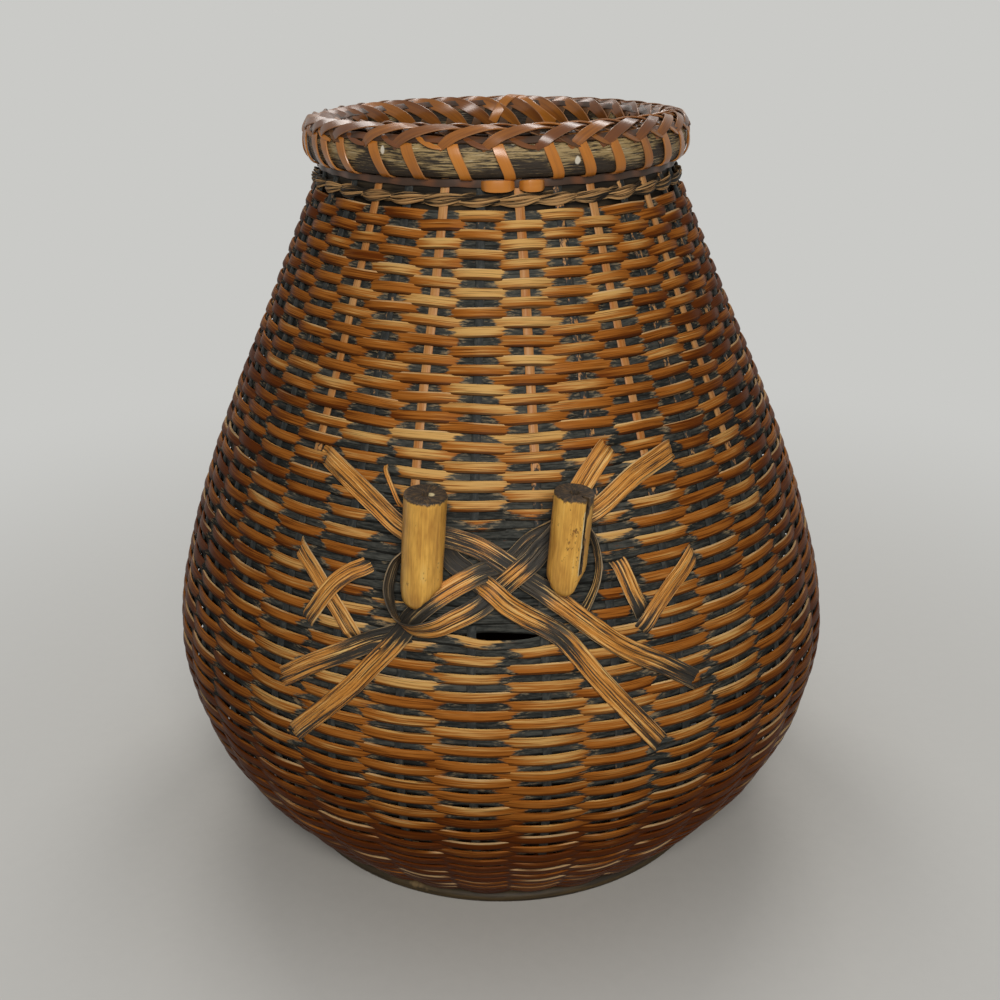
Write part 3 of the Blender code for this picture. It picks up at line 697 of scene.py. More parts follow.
class BasketSizes(bpy.types.PropertyGroup):
    """Sizes of the split bamboo from which the basket is woven"""

    rows: bpy.props.IntProperty(name="Weft rows", default=89, min=20, max=140,
                                description="Turns of the weft strip round the wall")
    strip_thickness: length_property("Weft thickness", "Thickness of the weft strip", 0.90 * MM)
    strip_fill: bpy.props.FloatProperty(name="Weft fill", default=1.20, min=0.3, max=1.3,
                                        subtype="FACTOR",
                                        description="Share of the row pitch that a strip fills")
    swing: length_property("Weft swing", "How far the weft moves in and out", 1.075 * MM)
    stake_width: length_property("Stake width", "Width of an upright stake", 3.4 * MM)
    stake_thickness: length_property("Stake thickness", "Thickness of a stake", 0.9 * MM)
    wrap_width: length_property("Wrap width", "Width of the strip wound round the rim", 4.2 * MM)
    plait_width: length_property("Plait width", "Width of the strips plaited on the rim", 3.9 * MM)
    strap_width: length_property("Strap width", "Width of a knot strap", 7.8 * MM)
    loop_width: length_property("Loop width", "Width of the loop round the right peg", 4.0 * MM)
    accent_width: length_property("Accent width", "Width of an accent strap", 6.6 * MM)
    strap_thickness: length_property("Strap thickness", "Thickness of a strap", 0.8 * MM)


class BasketColours(bpy.types.PropertyGroup):
    """Colours of the bamboo, its lacquer and the surroundings"""

    wood: colour_property("Worn wood", "Bamboo where the lacquer has worn off", tint(174, 106, 42))
    wood_deep: colour_property("Deep wood", "Darker worn bamboo", tint(104, 52, 17))
    wood_pale: colour_property("Pale wood", "Palest worn bamboo", tint(222, 176, 106))
    lacquer: colour_property("Lacquer", "Dark lacquer left between the worn places",
                             tint(42, 44, 43))
    lacquer_pale: colour_property("Faded lacquer", "Lacquer where it has faded",
                                  tint(84, 85, 80))
    stake: colour_property("Bare stake", "Stakes whose lacquer has gone", tint(212, 166, 110))
    rod: colour_property("Rim rod", "Bark of the rods in the rim", tint(58, 47, 34))
    rod_streak: colour_property("Rod streak", "Golden streaks on the rods", tint(200, 172, 118))
    wrap: colour_property("Wrap", "Glossy strip round the rim", tint(206, 130, 48))
    plait: colour_property("Plait", "Redder strip plaited on the rim", tint(116, 68, 34))
    peg: colour_property("Peg", "Pale bamboo of the pegs", tint(250, 194, 92))
    strap: colour_property("Strap", "Fibrous light wood of the straps", tint(224, 152, 68))
    strap_dark: colour_property("Dark strap", "Lacquered wood of the straps", tint(50, 47, 42))
    liner: colour_property("Liner", "Dark lacquer of the water liner", tint(58, 40, 28))
    floor: colour_property("Floor", "Plain floor under the basket", tint(208, 205, 199))
    floor_bounce: colour_property("Floor bounce", "What the floor casts back on the basket",
                                  tint(62, 43, 23))
    backdrop: colour_property("Backdrop", "Plain light behind the basket", tint(202, 202, 199))


def weft_finish(paint):
    """Lacquered weft, worn to the orange wood where it stands proud of the wall, with painted light
    and shade.
    """
    f = Finish("weft_bamboo", Specular_IOR_Level=0.02)
    across = f.times(f.part(f.grain, 1), 1.0 / (1.9 * MM))
    tips = f.noise((150.0, 1500.0, 37.0), 3.0, 0.6)
    patch = f.noise((28.0, 150.0, 11.0), 2.0, 0.5, 3.0)
    slant = f.slide(f.span(f.part(f.place(), 2), 265.0 * MM, 180.0 * MM), 0.04, 0.26)
    worn = f.sum(f.mark("proud"), (f.mark("guard"), -1.0), (across, slant),
                 (f.times(across, across), 0.25), tips, (patch, 0.9))
    bare = f.span(worn, -0.08, 0.14)
    fibre = f.noise((42.0, 1500.0, 5.0), 3.0, 0.65)
    broad = f.noise((16.0, 480.0, 5.0), 2.0, 0.5, 1.7)
    line = f.noise((38.0, 3200.0, 5.0), 2.0, 0.6, 7.3)
    lines = f.span(line, 0.06, 0.14)
    # The tone mark brings the painted light and shade laid round the wall; the across term paints
    # the upper half of each strip lighter, as lit from above; the proud term paints the crests
    # paler, partly polish and partly a painted highlight.
    tone = f.sum((f.mark("tone"), 0.7), (fibre, 2.8), broad, (across, 0.28), (f.mark("proud"), 0.2))
    wood = f.blend(f.span(tone, -0.85, 0.15), paint.wood_deep, paint.wood)
    wood = f.cover(wood, paint.wood_pale, f.span(tone, 0.15, 1.05))
    wood = f.cover(wood, dim(paint.wood_deep, 0.6), lines, 0.75)
    # Painted highlight: a pale line along both edges of each strip, in patches, as light catching
    # the edges; partly worn edges as well.
    edges = f.span(f.math("ABSOLUTE", across), 0.78, 0.92)
    rind = f.times(edges, f.span(f.sum(broad, (patch, 0.5)), 0.06, 0.16))
    wood = f.cover(wood, tint(236, 200, 146), rind, 0.6)
    # Painted shade: each strip darkens towards its lower edge, to deep brown in the wood and near
    # black in the lacquer, as the shadow in the slit below it.
    under = f.times(f.span(f.sum(across, (fibre, 0.3)), -0.45, -0.70), 0.8)
    wood = f.cover(wood, tint(62, 34, 18), under)
    fleck = f.noise((300.0, 1300.0, 3.0), 3.0, 0.65, 5.1)
    # The lacquer fades with the tone mark too, so it carries a little of that painted light.
    faded = f.sum((fleck, 1.6), (broad, 1.2), (f.mark("tone"), 0.2))
    dark = f.blend(f.span(faded, -0.4, 0.5), paint.lacquer, paint.lacquer_pale)
    dark = f.cover(dark, tint(26, 25, 22), lines, 0.7)
    dark = f.cover(dark, paint.wood_deep, f.span(fleck, 0.14, 0.24), 0.6)
    near = f.times(f.span(worn, -0.62, -0.12), f.span(fleck, 0.0, 0.12))
    dark = f.cover(dark, tint(158, 138, 106), near, 0.75)
    # The near black painted shade of the lower edge, in the lacquer.
    dark = f.cover(dark, tint(18, 17, 15), under, 0.9)
    height = f.sum((fibre, 0.9), (bare, 0.2))
    return f.done(f.blend(bare, dark, wood), f.slide(bare, 0.60, 0.36), height, 0.16 * MM, 0.7)


def stake_finish(paint):
    """Stakes under flaking lacquer, some of them bare."""
    f = Finish("stake_bamboo", Specular_IOR_Level=0.2)
    fleck = f.noise((420.0, 700.0, 37.0), 3.0, 0.6)
    patch = f.noise((60.0, 200.0, 11.0), 2.0, 0.5, 2.0)
    fibre = f.noise((40.0, 2000.0, 5.0), 3.0, 0.6, 4.0)
    bare = f.span(f.sum(fleck, (patch, 0.6), f.mark("pale")), 0.20, 0.36)
    wood = f.blend(f.span(f.sum(fibre, patch), -0.4, 0.5), paint.wood, paint.stake)
    dark = f.blend(f.span(fleck, -0.1, 0.4), paint.lacquer, paint.lacquer_pale)
    return f.done(f.blend(bare, dark, wood), f.slide(bare, 0.62, 0.42), fibre, 0.1 * MM, 0.6)


def twine_finish():
    """Thin splints of the twined band, lacquered, with dull gold where worn and, as painted light,
    more of it towards the front.
    """
    f = Finish("twine_bamboo", Specular_IOR_Level=0.15)
    fibre = f.noise((30.0, 3000.0, 5.0), 3.0, 0.6)
    patch = f.noise((60.0, 400.0, 37.0), 3.0, 0.6, 2.0)
    gold = f.span(f.sum(f.mark("wear"), (patch, 2.2), (fibre, 1.8)), 0.3, 0.8)
    dark = f.blend(f.span(patch, -0.1, 0.3), tint(32, 28, 23), tint(78, 66, 50))
    light = f.blend(f.span(fibre, -0.2, 0.2), tint(142, 98, 56), tint(218, 176, 120))
    return f.done(f.blend(gold, dark, light), 0.55, fibre, 0.15 * MM, 0.7)


def rod_finish(paint, name, light, chips):
    """Dark cracked bark of the bent rods, streaked with gold and chipped in a few places; a painted
    highlight brightens their upper half.
    """
    f = Finish(name, Specular_IOR_Level=0.35)
    # Painted highlight: high grows from the bottom of the rod to its middle and stays full above
    # it, adding gold and pale streaks there.
    high = f.span(f.part(f.place(), 2), 301.5 * MM, 310.0 * MM)
    streak = f.noise((120.0, 1500.0, 3.0), 4.0, 0.7)
    broad = f.noise((50.0, 130.0, 3.0), 2.0, 0.5, 4.0)
    crack = f.noise((300.0, 120.0, 3.0), 2.0, 0.6, 9.0)
    split = f.noise((95.0, 1900.0, 3.0), 4.0, 0.7, 17.0)
    gold = f.span(f.sum(streak, (broad, 0.8), (high, 0.24)), 0.13 - light, 0.30 - light)
    colour = f.blend(f.span(streak, -0.2, 0.15), dim(paint.rod, 0.35), paint.rod)
    colour = f.cover(colour, paint.rod_streak, gold, 0.75)
    # Pale streaks only where high: part of the painted highlight.
    pale = f.times(f.span(f.sum(split, (broad, 0.6)), 0.10, 0.22), high)
    colour = f.cover(colour, tint(232, 218, 184), pale, 0.7)
    colour = f.cover(colour, dim(paint.rod, 0.2), f.span(split, -0.04, -0.12), 0.85)
    for along, across, size in chips:
        near = f.spot((along * MM, across * MM, 1.0), (size * MM, size * 1.6 * MM, 10.0))
        chip = f.span(f.sum(near, (crack, 0.8)), 0.35, 0.55)
        colour = f.cover(colour, tint(236, 230, 212), chip)
    return f.done(colour, f.slide(gold, 0.55, 0.38), f.sum((split, 1.4), streak), 0.3 * MM, 0.9)


def wrap_finish(paint):
    """Glossy skin of the strip wound and plaited on the rim, with painted shade and painted edge
    highlights.
    """
    f = Finish("lashing_bamboo", Specular_IOR_Level=0.4, Coat_Weight=0.2, Coat_Roughness=0.16)
    fibre = f.noise((40.0, 1700.0, 5.0), 3.0, 0.6)
    broad = f.noise((60.0, 260.0, 37.0), 2.0, 0.5, 2.0)
    tone = f.sum(f.mark("tone"), (fibre, 0.7), (broad, 0.7))
    colour = f.blend(f.span(tone, -0.7, 0.7), paint.plait, paint.wrap)
    colour = f.cover(colour, paint.wood_pale, f.span(tone, 0.5, 1.5), 0.7)
    # Painted shade: the shade mark darkens the strips where they turn away from the light or tuck
    # under; on the pads under the plait it gives the strands their dark colour.
    painted_shade_and_dark_strands = f.span(f.sum(f.mark("shade"), (broad, 0.9)), 0.25, 0.95)
    colour = f.cover(colour, tint(46, 36, 27), painted_shade_and_dark_strands, 0.85)
    # Painted highlight: a pale line along the strip edges, as light catching them.
    rind = f.span(f.sum(f.mark("edge"), (fibre, 0.3)), 0.84, 0.96)
    colour = f.cover(colour, tint(178, 132, 92), rind, 0.45)
    return f.done(colour, f.slide(painted_shade_and_dark_strands, 0.30, 0.6), fibre, 0.08 * MM, 0.5)


def strap_finish(paint):
    """Fibrous straps, streaked light and dark along their length, pale at the cut edges."""
    f = Finish("strap_bamboo", Specular_IOR_Level=0.25)
    streak = f.noise((26.0, 1150.0, 37.0), 5.0, 0.75)
    broad = f.noise((48.0, 330.0, 37.0), 2.0, 0.5, 3.0)
    fine = f.noise((60.0, 2600.0, 37.0), 3.0, 0.7, 6.0)
    gash = f.span(f.noise((18.0, 1500.0, 37.0), 3.0, 0.6, 11.0), 0.08, 0.13)
    bare = f.sum((f.mark("wear"), 1.5), (streak, 5.0), (broad, 1.8), (fine, 1.6))
    bare = f.span(bare, 0.62, 1.22)
    fibres = f.sum((fine, 0.8), (streak, 1.4))
    light = f.blend(f.span(fibres, -0.24, 0.06), dim(paint.wood_deep, 0.7), paint.strap)
    light = f.cover(light, tint(252, 214, 140), f.span(fibres, 0.04, 0.24))
    dark = f.blend(f.span(f.sum(fine, broad), -0.05, 0.35), paint.strap_dark, tint(120, 106, 86))
    dark = f.cover(dark, tint(176, 134, 86), f.span(streak, 0.10, 0.18), 0.7)
    colour = f.cover(f.blend(bare, dark, light), tint(28, 24, 20), gash, 0.85)
    rind = f.span(f.sum(f.mark("edge"), (streak, 0.4)), 0.93, 1.02)
    colour = f.cover(colour, tint(212, 184, 142), rind, 0.75)
    height = f.sum((streak, 1.1), (fine, 0.6), (gash, -0.8))
    return f.done(colour, f.slide(bare, 0.56, 0.42), height, 0.3 * MM, 0.9)


def peg_finish(paint):
    """Pale bamboo rind with fine upright fibres and specks, scorched at the cut top, with painted
    shade in its crack and pith hole.
    """
    f = Finish("peg_bamboo", Specular_IOR_Level=0.4, Coat_Weight=0.12, Coat_Roughness=0.35)
    fibre = f.noise((22.0, 1500.0, 37.0), 4.0, 0.7)
    broad = f.noise((60.0, 260.0, 37.0), 3.0, 0.6, 4.0)
    spot = f.noise((420.0, 900.0, 37.0), 3.0, 0.7, 8.0)
    rind = f.span(f.sum(fibre, (broad, 1.6)), -0.45, 0.35)
    colour = f.blend(rind, tint(190, 134, 58), paint.peg)
    colour = f.cover(colour, tint(240, 208, 132), f.span(f.sum(fibre, broad), 0.1, 0.5))
    specks = f.span(f.sum(spot, (broad, 0.7), (f.mark("peel"), 0.16)), 0.15, 0.26)
    colour = f.cover(colour, tint(112, 70, 30), specks, 0.8)
    # The scorch mask also carries the painted shade in the crack and the pith hole.
    scorched_and_shaded = f.span(f.sum(f.mark("scorch_and_shade"), (spot, 1.1), (broad, 0.7)), 0.3, 0.6)
    soot_and_shade = f.blend(f.span(spot, -0.1, 0.25), tint(30, 26, 22), tint(112, 88, 58))
    colour = f.cover(f.cover(colour, soot_and_shade, scorched_and_shaded), tint(244, 226, 176),
                     f.span(f.mark("chip"), 0.4, 0.6))
    height = f.sum((fibre, 0.5), (scorched_and_shaded, f.times(spot, 3.0)), (specks, -0.4))
    return f.done(colour, f.slide(scorched_and_shaded, 0.38, 0.6), height, 0.25 * MM, 0.6)


def foot_finish():
    """Dull grey-brown rod that carries the basket."""
    f = Finish("dark_bamboo", Specular_IOR_Level=0.35)
    streak = f.noise((30.0, 800.0, 3.0), 4.0, 0.65)
    scuff = f.span(f.noise((120.0, 240.0, 3.0), 3.0, 0.6, 5.0), 0.16, 0.26)
    colour = f.blend(f.span(streak, -0.2, 0.3), tint(40, 32, 21), tint(98, 80, 50))
    colour = f.cover(colour, tint(150, 124, 84), scuff, 0.6)
    return f.done(colour, 0.58, streak, 0.2 * MM, 0.7)


def mat_finish():
    """Wide strips of the woven bottom."""
    f = Finish("base_bamboo", Specular_IOR_Level=0.35)
    fibre = f.noise((18.0, 1200.0, 37.0), 4.0, 0.65)
    broad = f.noise((30.0, 120.0, 37.0), 2.0, 0.5, 3.0)
    colour = f.blend(f.span(f.sum(fibre, broad), -0.4, 0.5), tint(52, 38, 26), tint(132, 88, 48))
    return f.done(colour, 0.58, fibre, 0.15 * MM, 0.6)


def liner_finish(paint):
    """Dark lacquered metal of the water liner, brushed round and dulled in patches."""
    f = Finish("liner_metal", Metallic=0.6, Specular_IOR_Level=0.5)
    brush = f.noise((6.0, 1500.0, 3.0), 3.0, 0.6)
    dull = f.noise((25.0, 25.0, 3.0), 3.0, 0.6, 4.0)
    worn = f.span(f.sum((brush, 0.5), dull), -0.3, 0.3)
    colour = f.blend(worn, dim(paint.liner, 0.6), paint.liner)
    return f.done(colour, f.slide(f.span(dull, -0.3, 0.3), 0.32, 0.5), brush, 0.05 * MM, 0.4)


def filler_finish():
    """Hidden filler strip on the ends of the stakes."""
    f = Finish("core_bamboo", by_place=True, Specular_IOR_Level=0.35)
    fleck = f.noise((300.0, 300.0, 900.0), 3.0, 0.6)
    colour = f.blend(f.span(fleck, -0.1, 0.3), tint(30, 26, 22), tint(84, 62, 40))
    return f.done(colour, 0.6, fleck, 0.2 * MM, 0.6)


def strap_table(name):
    """A strap's angles, heights, lifts, wear and twists, in radians and metres."""
    table = np.array([(*row, 0.0)[:5] for row in STRAPS[name]], float).T
    return np.radians(table[0]), table[1] * MM, table[2] * MM, table[3], np.radians(table[4])


def run_on(chord, values, at):
    """A curve through a table that runs on straight past both its ends."""
    past = at - np.clip(at, 0.0, chord[-1])
    first = (values[1] - values[0]) / (chord[1] - chord[0])
    last = (values[-1] - values[-2]) / (chord[-1] - chord[-2])
    return read_curve(chord, values, at) + past * np.where(past < 0.0, first, last)


def strap_points(name):
    """Centre line of a strap, its facings and its wear, from the table."""
    angle, height, lift, wear, twist = strap_table(name)
    settled = lift - STRAP_SETTLE * ramp(lift, 3.2 * MM, 1.6 * MM)
    lift = np.where(lift < 0.0, STRAP_TUCK, settled)
    chord = way_along(wall_point(angle, height, lift))
    at = np.linspace(-STRAP_OVERRUN, chord[-1] + STRAP_OVERRUN, int(chord[-1] / SAMPLE_STEP) + 4)
    angles, heights = run_on(chord, angle, at), run_on(chord, height, at)
    centres = wall_point(angles, heights, read_curve(chord, lift, at))
    facings = lean_faces(centres, wall_normal(angles, heights), read_curve(chord, twist, at))
    return centres, facings, read_curve(chord, wear, at)


def strap_shade(angle, height):
    """How near each place of the weave is to a strap, from 0 to 1 right under it."""
    near = np.ones(angle.shape)
    front = (np.abs(angle) < math.radians(50.0)) & (height > 85 * MM) & (height < 230 * MM)
    radius = wall_radius(height[front])
    for name in STRAPS:
        around, up = strap_table(name)[:2]
        steps = np.arange(len(up))
        at = np.linspace(0, len(up) - 1, len(up) * 3)
        for place in zip(np.interp(at, steps, around), np.interp(at, steps, up)):
            gap = np.hypot((angle[front] - place[0]) * radius, height[front] - place[1])
            near[front] = np.minimum(near[front], gap)
    return bell(near / STRAP_SHADE_REACH)


def wear_level(angle, height, row):
    """How proud the weft must stand there before its lacquer is worn off."""
    level = read_curve(np.array(WEAR_HEIGHTS) * MM, WEAR_LEVELS, height)
    level = level + 0.28 * drift(angle, height, 3.0, 5.0, 70.0 * MM)
    level = level + 0.10 * np.sin(angle / 2.0) ** 2
    knot = np.hypot((angle - KNOT_CENTRE[0]) / KNOT_REACH[0],
                    (height - KNOT_CENTRE[1]) / KNOT_REACH[1])
    level = level + 1.25 * bell(knot ** 1.5) + 0.8 * strap_shade(angle, height)
    return level + 0.12 * dice(row, 5.0)


def weft_tone_and_painted_light(q, theta, height):
    """How light the weft's wood is: random by row, painted light up the front, painted shade
    towards the sides, paler at the back, darker at the foot.
    """
    tone = wander(q, 61.0) * 0.7 + 0.5 * wander(q / 9.0, 71.0)
    # Painted light and shade: paler towards the front and darker towards the sides, where the light
    # falls away. The back is paler than the sides.
    front = np.cos(theta) - 0.90
    tone = tone + 2.4 * np.clip(front, -0.5, 0.10) + 1.1 * np.clip(-np.cos(theta), 0.0, 1.0)
    tone = tone - 1.8 * ramp(height, 110.0 * MM, 35.0 * MM)
    # Painted light: paler still high up at the front.
    return tone + 3.5 * np.clip(front, 0.0, 0.10) * ramp(height, 130.0 * MM, 190.0 * MM)


def open_gap(theta, from_gap, width):
    """Move the rows apart over and under the slit below the knot, and make them narrower."""
    window = np.exp(-((theta - GAP_CENTRE[0]) / GAP_REACH[0]) ** 4)
    shift = GAP_OPENING * window * np.sign(from_gap) * bell(from_gap / GAP_REACH[1])
    return shift, width * (1.0 - 0.12 * window * bell(from_gap / (2.0 * GAP_REACH[1])))


def weave_wall(sizes, paint):
    """One flat strip climbs round the stakes; it is cut at whole turns into five pieces."""
    heights = np.linspace(WALL_BOTTOM, WALL_TOP, 3000)
    arcs = way_along(np.stack([heights, wall_radius(heights)], -1))
    per_turn = STAKES * SAMPLES_PER_STAKE
    pitch = arcs[-1] / (sizes.rows + sizes.strip_fill)
    width = pitch * sizes.strip_fill
    half = width / 2.0
    turn = np.arange(sizes.rows * per_turn + 1) / per_turn
    angle = math.pi - turn * TURN
    theta = wrap_angle(angle)
    q = (angle - STAKE_PHASE) / SPACING
    arc = half + pitch * turn
    gap_turn = round((np.interp(GAP_CENTRE[1], heights, arcs) - half) / pitch)
    opening, widths = open_gap(theta, arc - (half + pitch * gap_turn), width)
    shift = ROW_DRIFT * drift(theta, np.interp(arc, arcs, heights), 11.0, 9.0, 40.0 * MM)
    shift = shift + ROW_SHAKE * wander(q / 2.7, 21.0) + opening
    shift = shift * ramp(np.minimum(arc, arcs[-1] - arc), half, half + ROW_END)
    arc = np.clip(arc + shift, half, arcs[-1] - half)
    height = np.interp(arc, arcs, heights)
    out = np.cos(math.pi * q)
    lift = WEFT_LIFT - STAKE_DEPTH + sizes.swing * (1.0 + 0.10 * wander(q / 1.9, 31.0)) * out
    lift = np.minimum(lift, -sizes.strip_thickness / 2.0 + 0.1 * MM)
    centres = wall_point(theta, height, lift)
    twist = np.radians(-4.0 * np.clip(out, 0.0, 1.0) + 4.0 * wander(q / 2.3, 41.0))
    facings = lean_faces(centres, wall_normal(theta, height), twist)
    widths = widths * (1.0 + 0.05 * wander(q / 6.0, 51.0))
    guard = wear_level(theta, height, np.round(q))
    tone = weft_tone_and_painted_light(q, theta, height)
    edges = np.interp(WALL_BOTTOM + BAND_HEIGHT * np.arange(1, BANDS), heights, arcs)
    cuts = [0, *(round((edge - half) / pitch) for edge in edges), sizes.rows]
    finish = weft_finish(paint)
    for band in range(BANDS):
        run = slice(cuts[band] * per_turn, cuts[band + 1] * per_turn + 1)
        bundle = Bundle()
        bundle.add(centres[run], facings[run], widths[run], sizes.strip_thickness,
                   seed=band * 1.7, proud=out[run], guard=guard[run], tone=tone[run])
        bundle.build(f"weft_rows_{band + 1}", finish, "weft_bamboo", f"weft_band_{band + 1}")


def stake_line():
    """Centre line of a stake as radius and height, from the mat up into the rim."""
    heights = np.linspace(WALL_BOTTOM + 3.0 * MM, WALL_TOP, 320)
    lean = wall_lean(heights)
    radii = wall_radius(heights) - STAKE_DEPTH * np.cos(lean)
    rise = heights + STAKE_DEPTH * np.sin(lean)
    corner = radii[0] - 5.0 * MM
    base = np.linspace(STAKE_INNER, corner, 40)
    bend = np.linspace(0.0, 1.0, 8)[1:-1]
    middle = (0.0, 0.5, 1.0)
    bend_radii = read_curve(middle, (corner, radii[0] - 1.6 * MM, radii[0]), bend)
    bend_rise = read_curve(middle, (STAKE_FOOT, STAKE_FOOT + 0.7 * MM, rise[0]), bend)
    top = np.linspace(0.0, 1.0, 14)[1:]
    top_radii = read_curve((0.0, 0.35, 1.0), (radii[-1], RIM_MIDDLE + 0.1 * MM, RIM_MIDDLE), top)
    top_rise = rise[-1] + (STAKE_TOP - rise[-1]) * top
    return (np.concatenate([base, bend_radii, radii, top_radii]),
            np.concatenate([np.full(len(base), STAKE_FOOT), bend_rise, rise, top_rise]))


def set_stakes(sizes, paint):
    """Upright stakes, bent in over the mat and clamped in the rim."""
    radii, rise = stake_line()
    along = way_along(np.stack([radii, rise], -1))
    slope = unit(np.stack([np.gradient(radii), np.gradient(rise)], -1))
    widths = sizes.stake_width * (0.9 + 0.1 * ramp(along, along[-1], along[-1] - 5.0 * MM))
    finish = stake_finish(paint)
    for i in range(STAKES):
        angle = STAKE_PHASE + i * SPACING
        sway = STAKE_SWAY * wander(along / (45.0 * MM), 80.0 + i) * ramp(rise, 8.0 * MM, 38.0 * MM)
        centres = ring_point(angle + sway / np.maximum(radii, STAKE_INNER), radii, rise)
        facings = ring_point(angle, slope[:, 1], -slope[:, 0])
        degrees = math.degrees(wrap_angle(angle))
        bare = min(abs(degrees - pale) for pale in PALE_STAKES) < 1.0
        fade = ramp(rise, 175.0 * MM, 225.0 * MM)
        bundle = Bundle()
        bundle.add(centres, facings, widths, sizes.stake_thickness, STAKE_SECTION, seed=i * 1.3,
                   pale=-0.05 + 0.12 * dice(i, 7.0) + fade * (0.75 if bare else 0.16))
        bundle.build(f"stake_strip_{i + 1:02d}", finish, "stake_bamboo", f"stake_{i + 1:02d}")


def twine_neck():
    """Two strands of splints that cross between all the stakes and close the weave."""
    step = np.arange(STAKES * TWINE_TURNS * TWINE_SAMPLES)
    u = TWINE_START + step / TWINE_SAMPLES
    angle = u * SPACING + STAKE_PHASE
    fade = np.sin(math.pi * step / len(step))
    front = np.cos(math.pi * u)
    loose = 0.42 + 0.58 * np.abs(front)
    bundle = Bundle()
    for splint, (side, deep) in enumerate(TWINE_SPLINTS):
        stray = 0.3 * MM * wander(step / 19.0, 90.0 + splint) * fade
        height = TWINE_HEIGHT + TWINE_RISE * np.sin(math.pi * u) + side * MM * loose + stray
        radius = TWINE_RADIUS + TWINE_DEPTH * front + deep * MM * loose
        # Painted light: the gold is raised towards the front, where the light falls; the crossings
        # and the wandering term are wear.
        wear = 0.2 + 0.25 * np.cos(angle) + 0.25 * front
        wear = wear + 0.45 * wander(step / 23.0, 95.0 + splint) * fade
        bundle.add(ring_point(angle, radius, height), ring_point(angle, 1.0, -0.3),
                   SPLINT_WIDTH * (0.62 + 0.38 * np.abs(front)), SPLINT_THICKNESS,
                   SPLINT_SECTION, closed=True, seed=splint + 1.0, wear=wear)
    angle = np.arange(STAKES * 8) * SPACING / 8.0
    radius, height, width, thickness = (value * MM for value in NECK_LINING)
    bundle.add(ring_point(angle, radius, height), ring_point(angle, 1.0, 0.0), width, thickness,
               SPLINT_SECTION, closed=True, seed=9.0, wear=-0.6)
    bundle.build("neck_twining", twine_finish(), "weft_bamboo", "neck_twine")


def bend_rods(paint):
    """Two rods bent to hoops, one outside and one inside the ends of the stakes."""
    for name, radius, light, seed, chips in HOOPS:
        hoop = bend_ring(f"hoop_rod_{name}", radius, ROD_WIDTH, ROD_DEPTH, HOOP_LEVEL, 264, 20)
        roughen_rod(hoop, radius, seed)
        mark_rounds(hoop, radius, seed)
        finish = rod_finish(paint, f"hoop_bark_{name}", light, chips)
        finish_piece(hoop, finish, "basket", "hoop_bamboo", f"rim_hoop_{name}")


def roughen_rod(rod, radius, seed):
    """Give a bent rod its long flats and hollows."""
    for vertex in rod.data.vertices:
        place = vertex.co
        angle = math.atan2(place.x, -place.y)
        distance = math.hypot(place.x, place.y)
        turn = math.atan2((place.z - HOOP_LEVEL) * 0.5, distance - radius)
        bump = math.sin(angle * 9 + seed + 2 * turn) + math.sin(angle * 23 + 3 * turn + seed)
        bump += 0.8 * math.sin(angle * 4 + 5 * turn + 2 * seed)
        loss = ROD_HOLLOWS * (1.5 + bump * 0.5) / ROD_WIDTH
        new = radius + (distance - radius) * (1.0 - loss)
        place.x *= new / distance
        place.y *= new / distance
        place.z = HOOP_LEVEL + (place.z - HOOP_LEVEL) * (1.0 - loss * 0.5)


def rim_line(table, angle, samples, level, mirror=False):
    """A strip over the rim from its table: its line, its facings and its way from 0 to 1."""
    table = np.array(table, float) * MM
    if mirror:
        table[:, 1] = 2.0 * RIM_MIDDLE - table[:, 1]
    chord = way_along(table)
    at = np.linspace(0.0, chord[-1], samples)
    side, radii, heights = (read_curve(chord, table[:, k], at) for k in range(3))
    turn = angle + side / RIM_REACH
    off = unit(np.stack([radii - RIM_MIDDLE, heights - level], -1))
    return ring_point(turn, radii, heights), ring_point(turn, off[:, 0], off[:, 1]), at / chord[-1]


def wrap_places():
    """Angles of all the wraps, those of the front as the rim shows them."""
    start, end = math.radians(WRAP_ANGLES[-1]), TURN + math.radians(WRAP_ANGLES[0])
    rest = STAKES - len(WRAP_ANGLES)
    back = [start + (end - start) * (k + 1) / (rest + 1) for k in range(rest)]
    return [math.radians(a) for a in WRAP_ANGLES] + back


def lash_rim(sizes, paint):
    """The strip wound round the rim and plaited on its top."""
    bundle = Bundle()
    places = wrap_places()
    for k, angle in enumerate(places):
        centres, facings, way = rim_line(WRAP_LINE, angle, 44, HOOP_LEVEL)
        # Painted shade: each wrap is lit on the outer face of the hoop and darkened over its top,
        # under it and inside, and darker towards the sides and the back.
        shade = np.clip(1.6 - np.abs(way - 0.26) / 0.10, -1.0, 1.0) * -0.6 + 0.35
        shade = shade + 0.9 * np.clip(0.55 - math.cos(wrap_angle(angle)), 0.0, 0.7)
        bundle.add(centres, facings, sizes.wrap_width * (1.0 + 0.08 * dice(k, 2.0)),
                   LASHING_THICKNESS, seed=k * 1.1, tone=0.35 + 0.35 * dice(k, 1.0),
                   shade=shade, edge=STRIP_EDGE)
    places = sorted(places)
    for k, angle in enumerate(places):
        gap = (places[(k + 1) % STAKES] - angle) % TURN
        plait_strip(bundle, sizes, k, angle, gap, False)
        plait_strip(bundle, sizes, k, angle + gap / 2.0, gap, True)
        centres, facings, way = rim_line(PLAIT_UNDER, angle, 12, HOOP_LEVEL)
        bundle.add(centres, facings, UNDER_WIDTH * (0.6 + 0.4 * np.sin(math.pi * way)),
                   UNDER_THICKNESS, seed=k * 2.3 + 11.0, tone=-0.1 + 0.5 * dice(k, 6.0),
                   shade=0.5 + 0.35 * dice(k, 8.0), edge=STRIP_EDGE)
    pad_rim(bundle)
    end_plait(bundle)
    bundle.build("rim_binding", wrap_finish(paint), "lashing_bamboo", "rim_lashing")


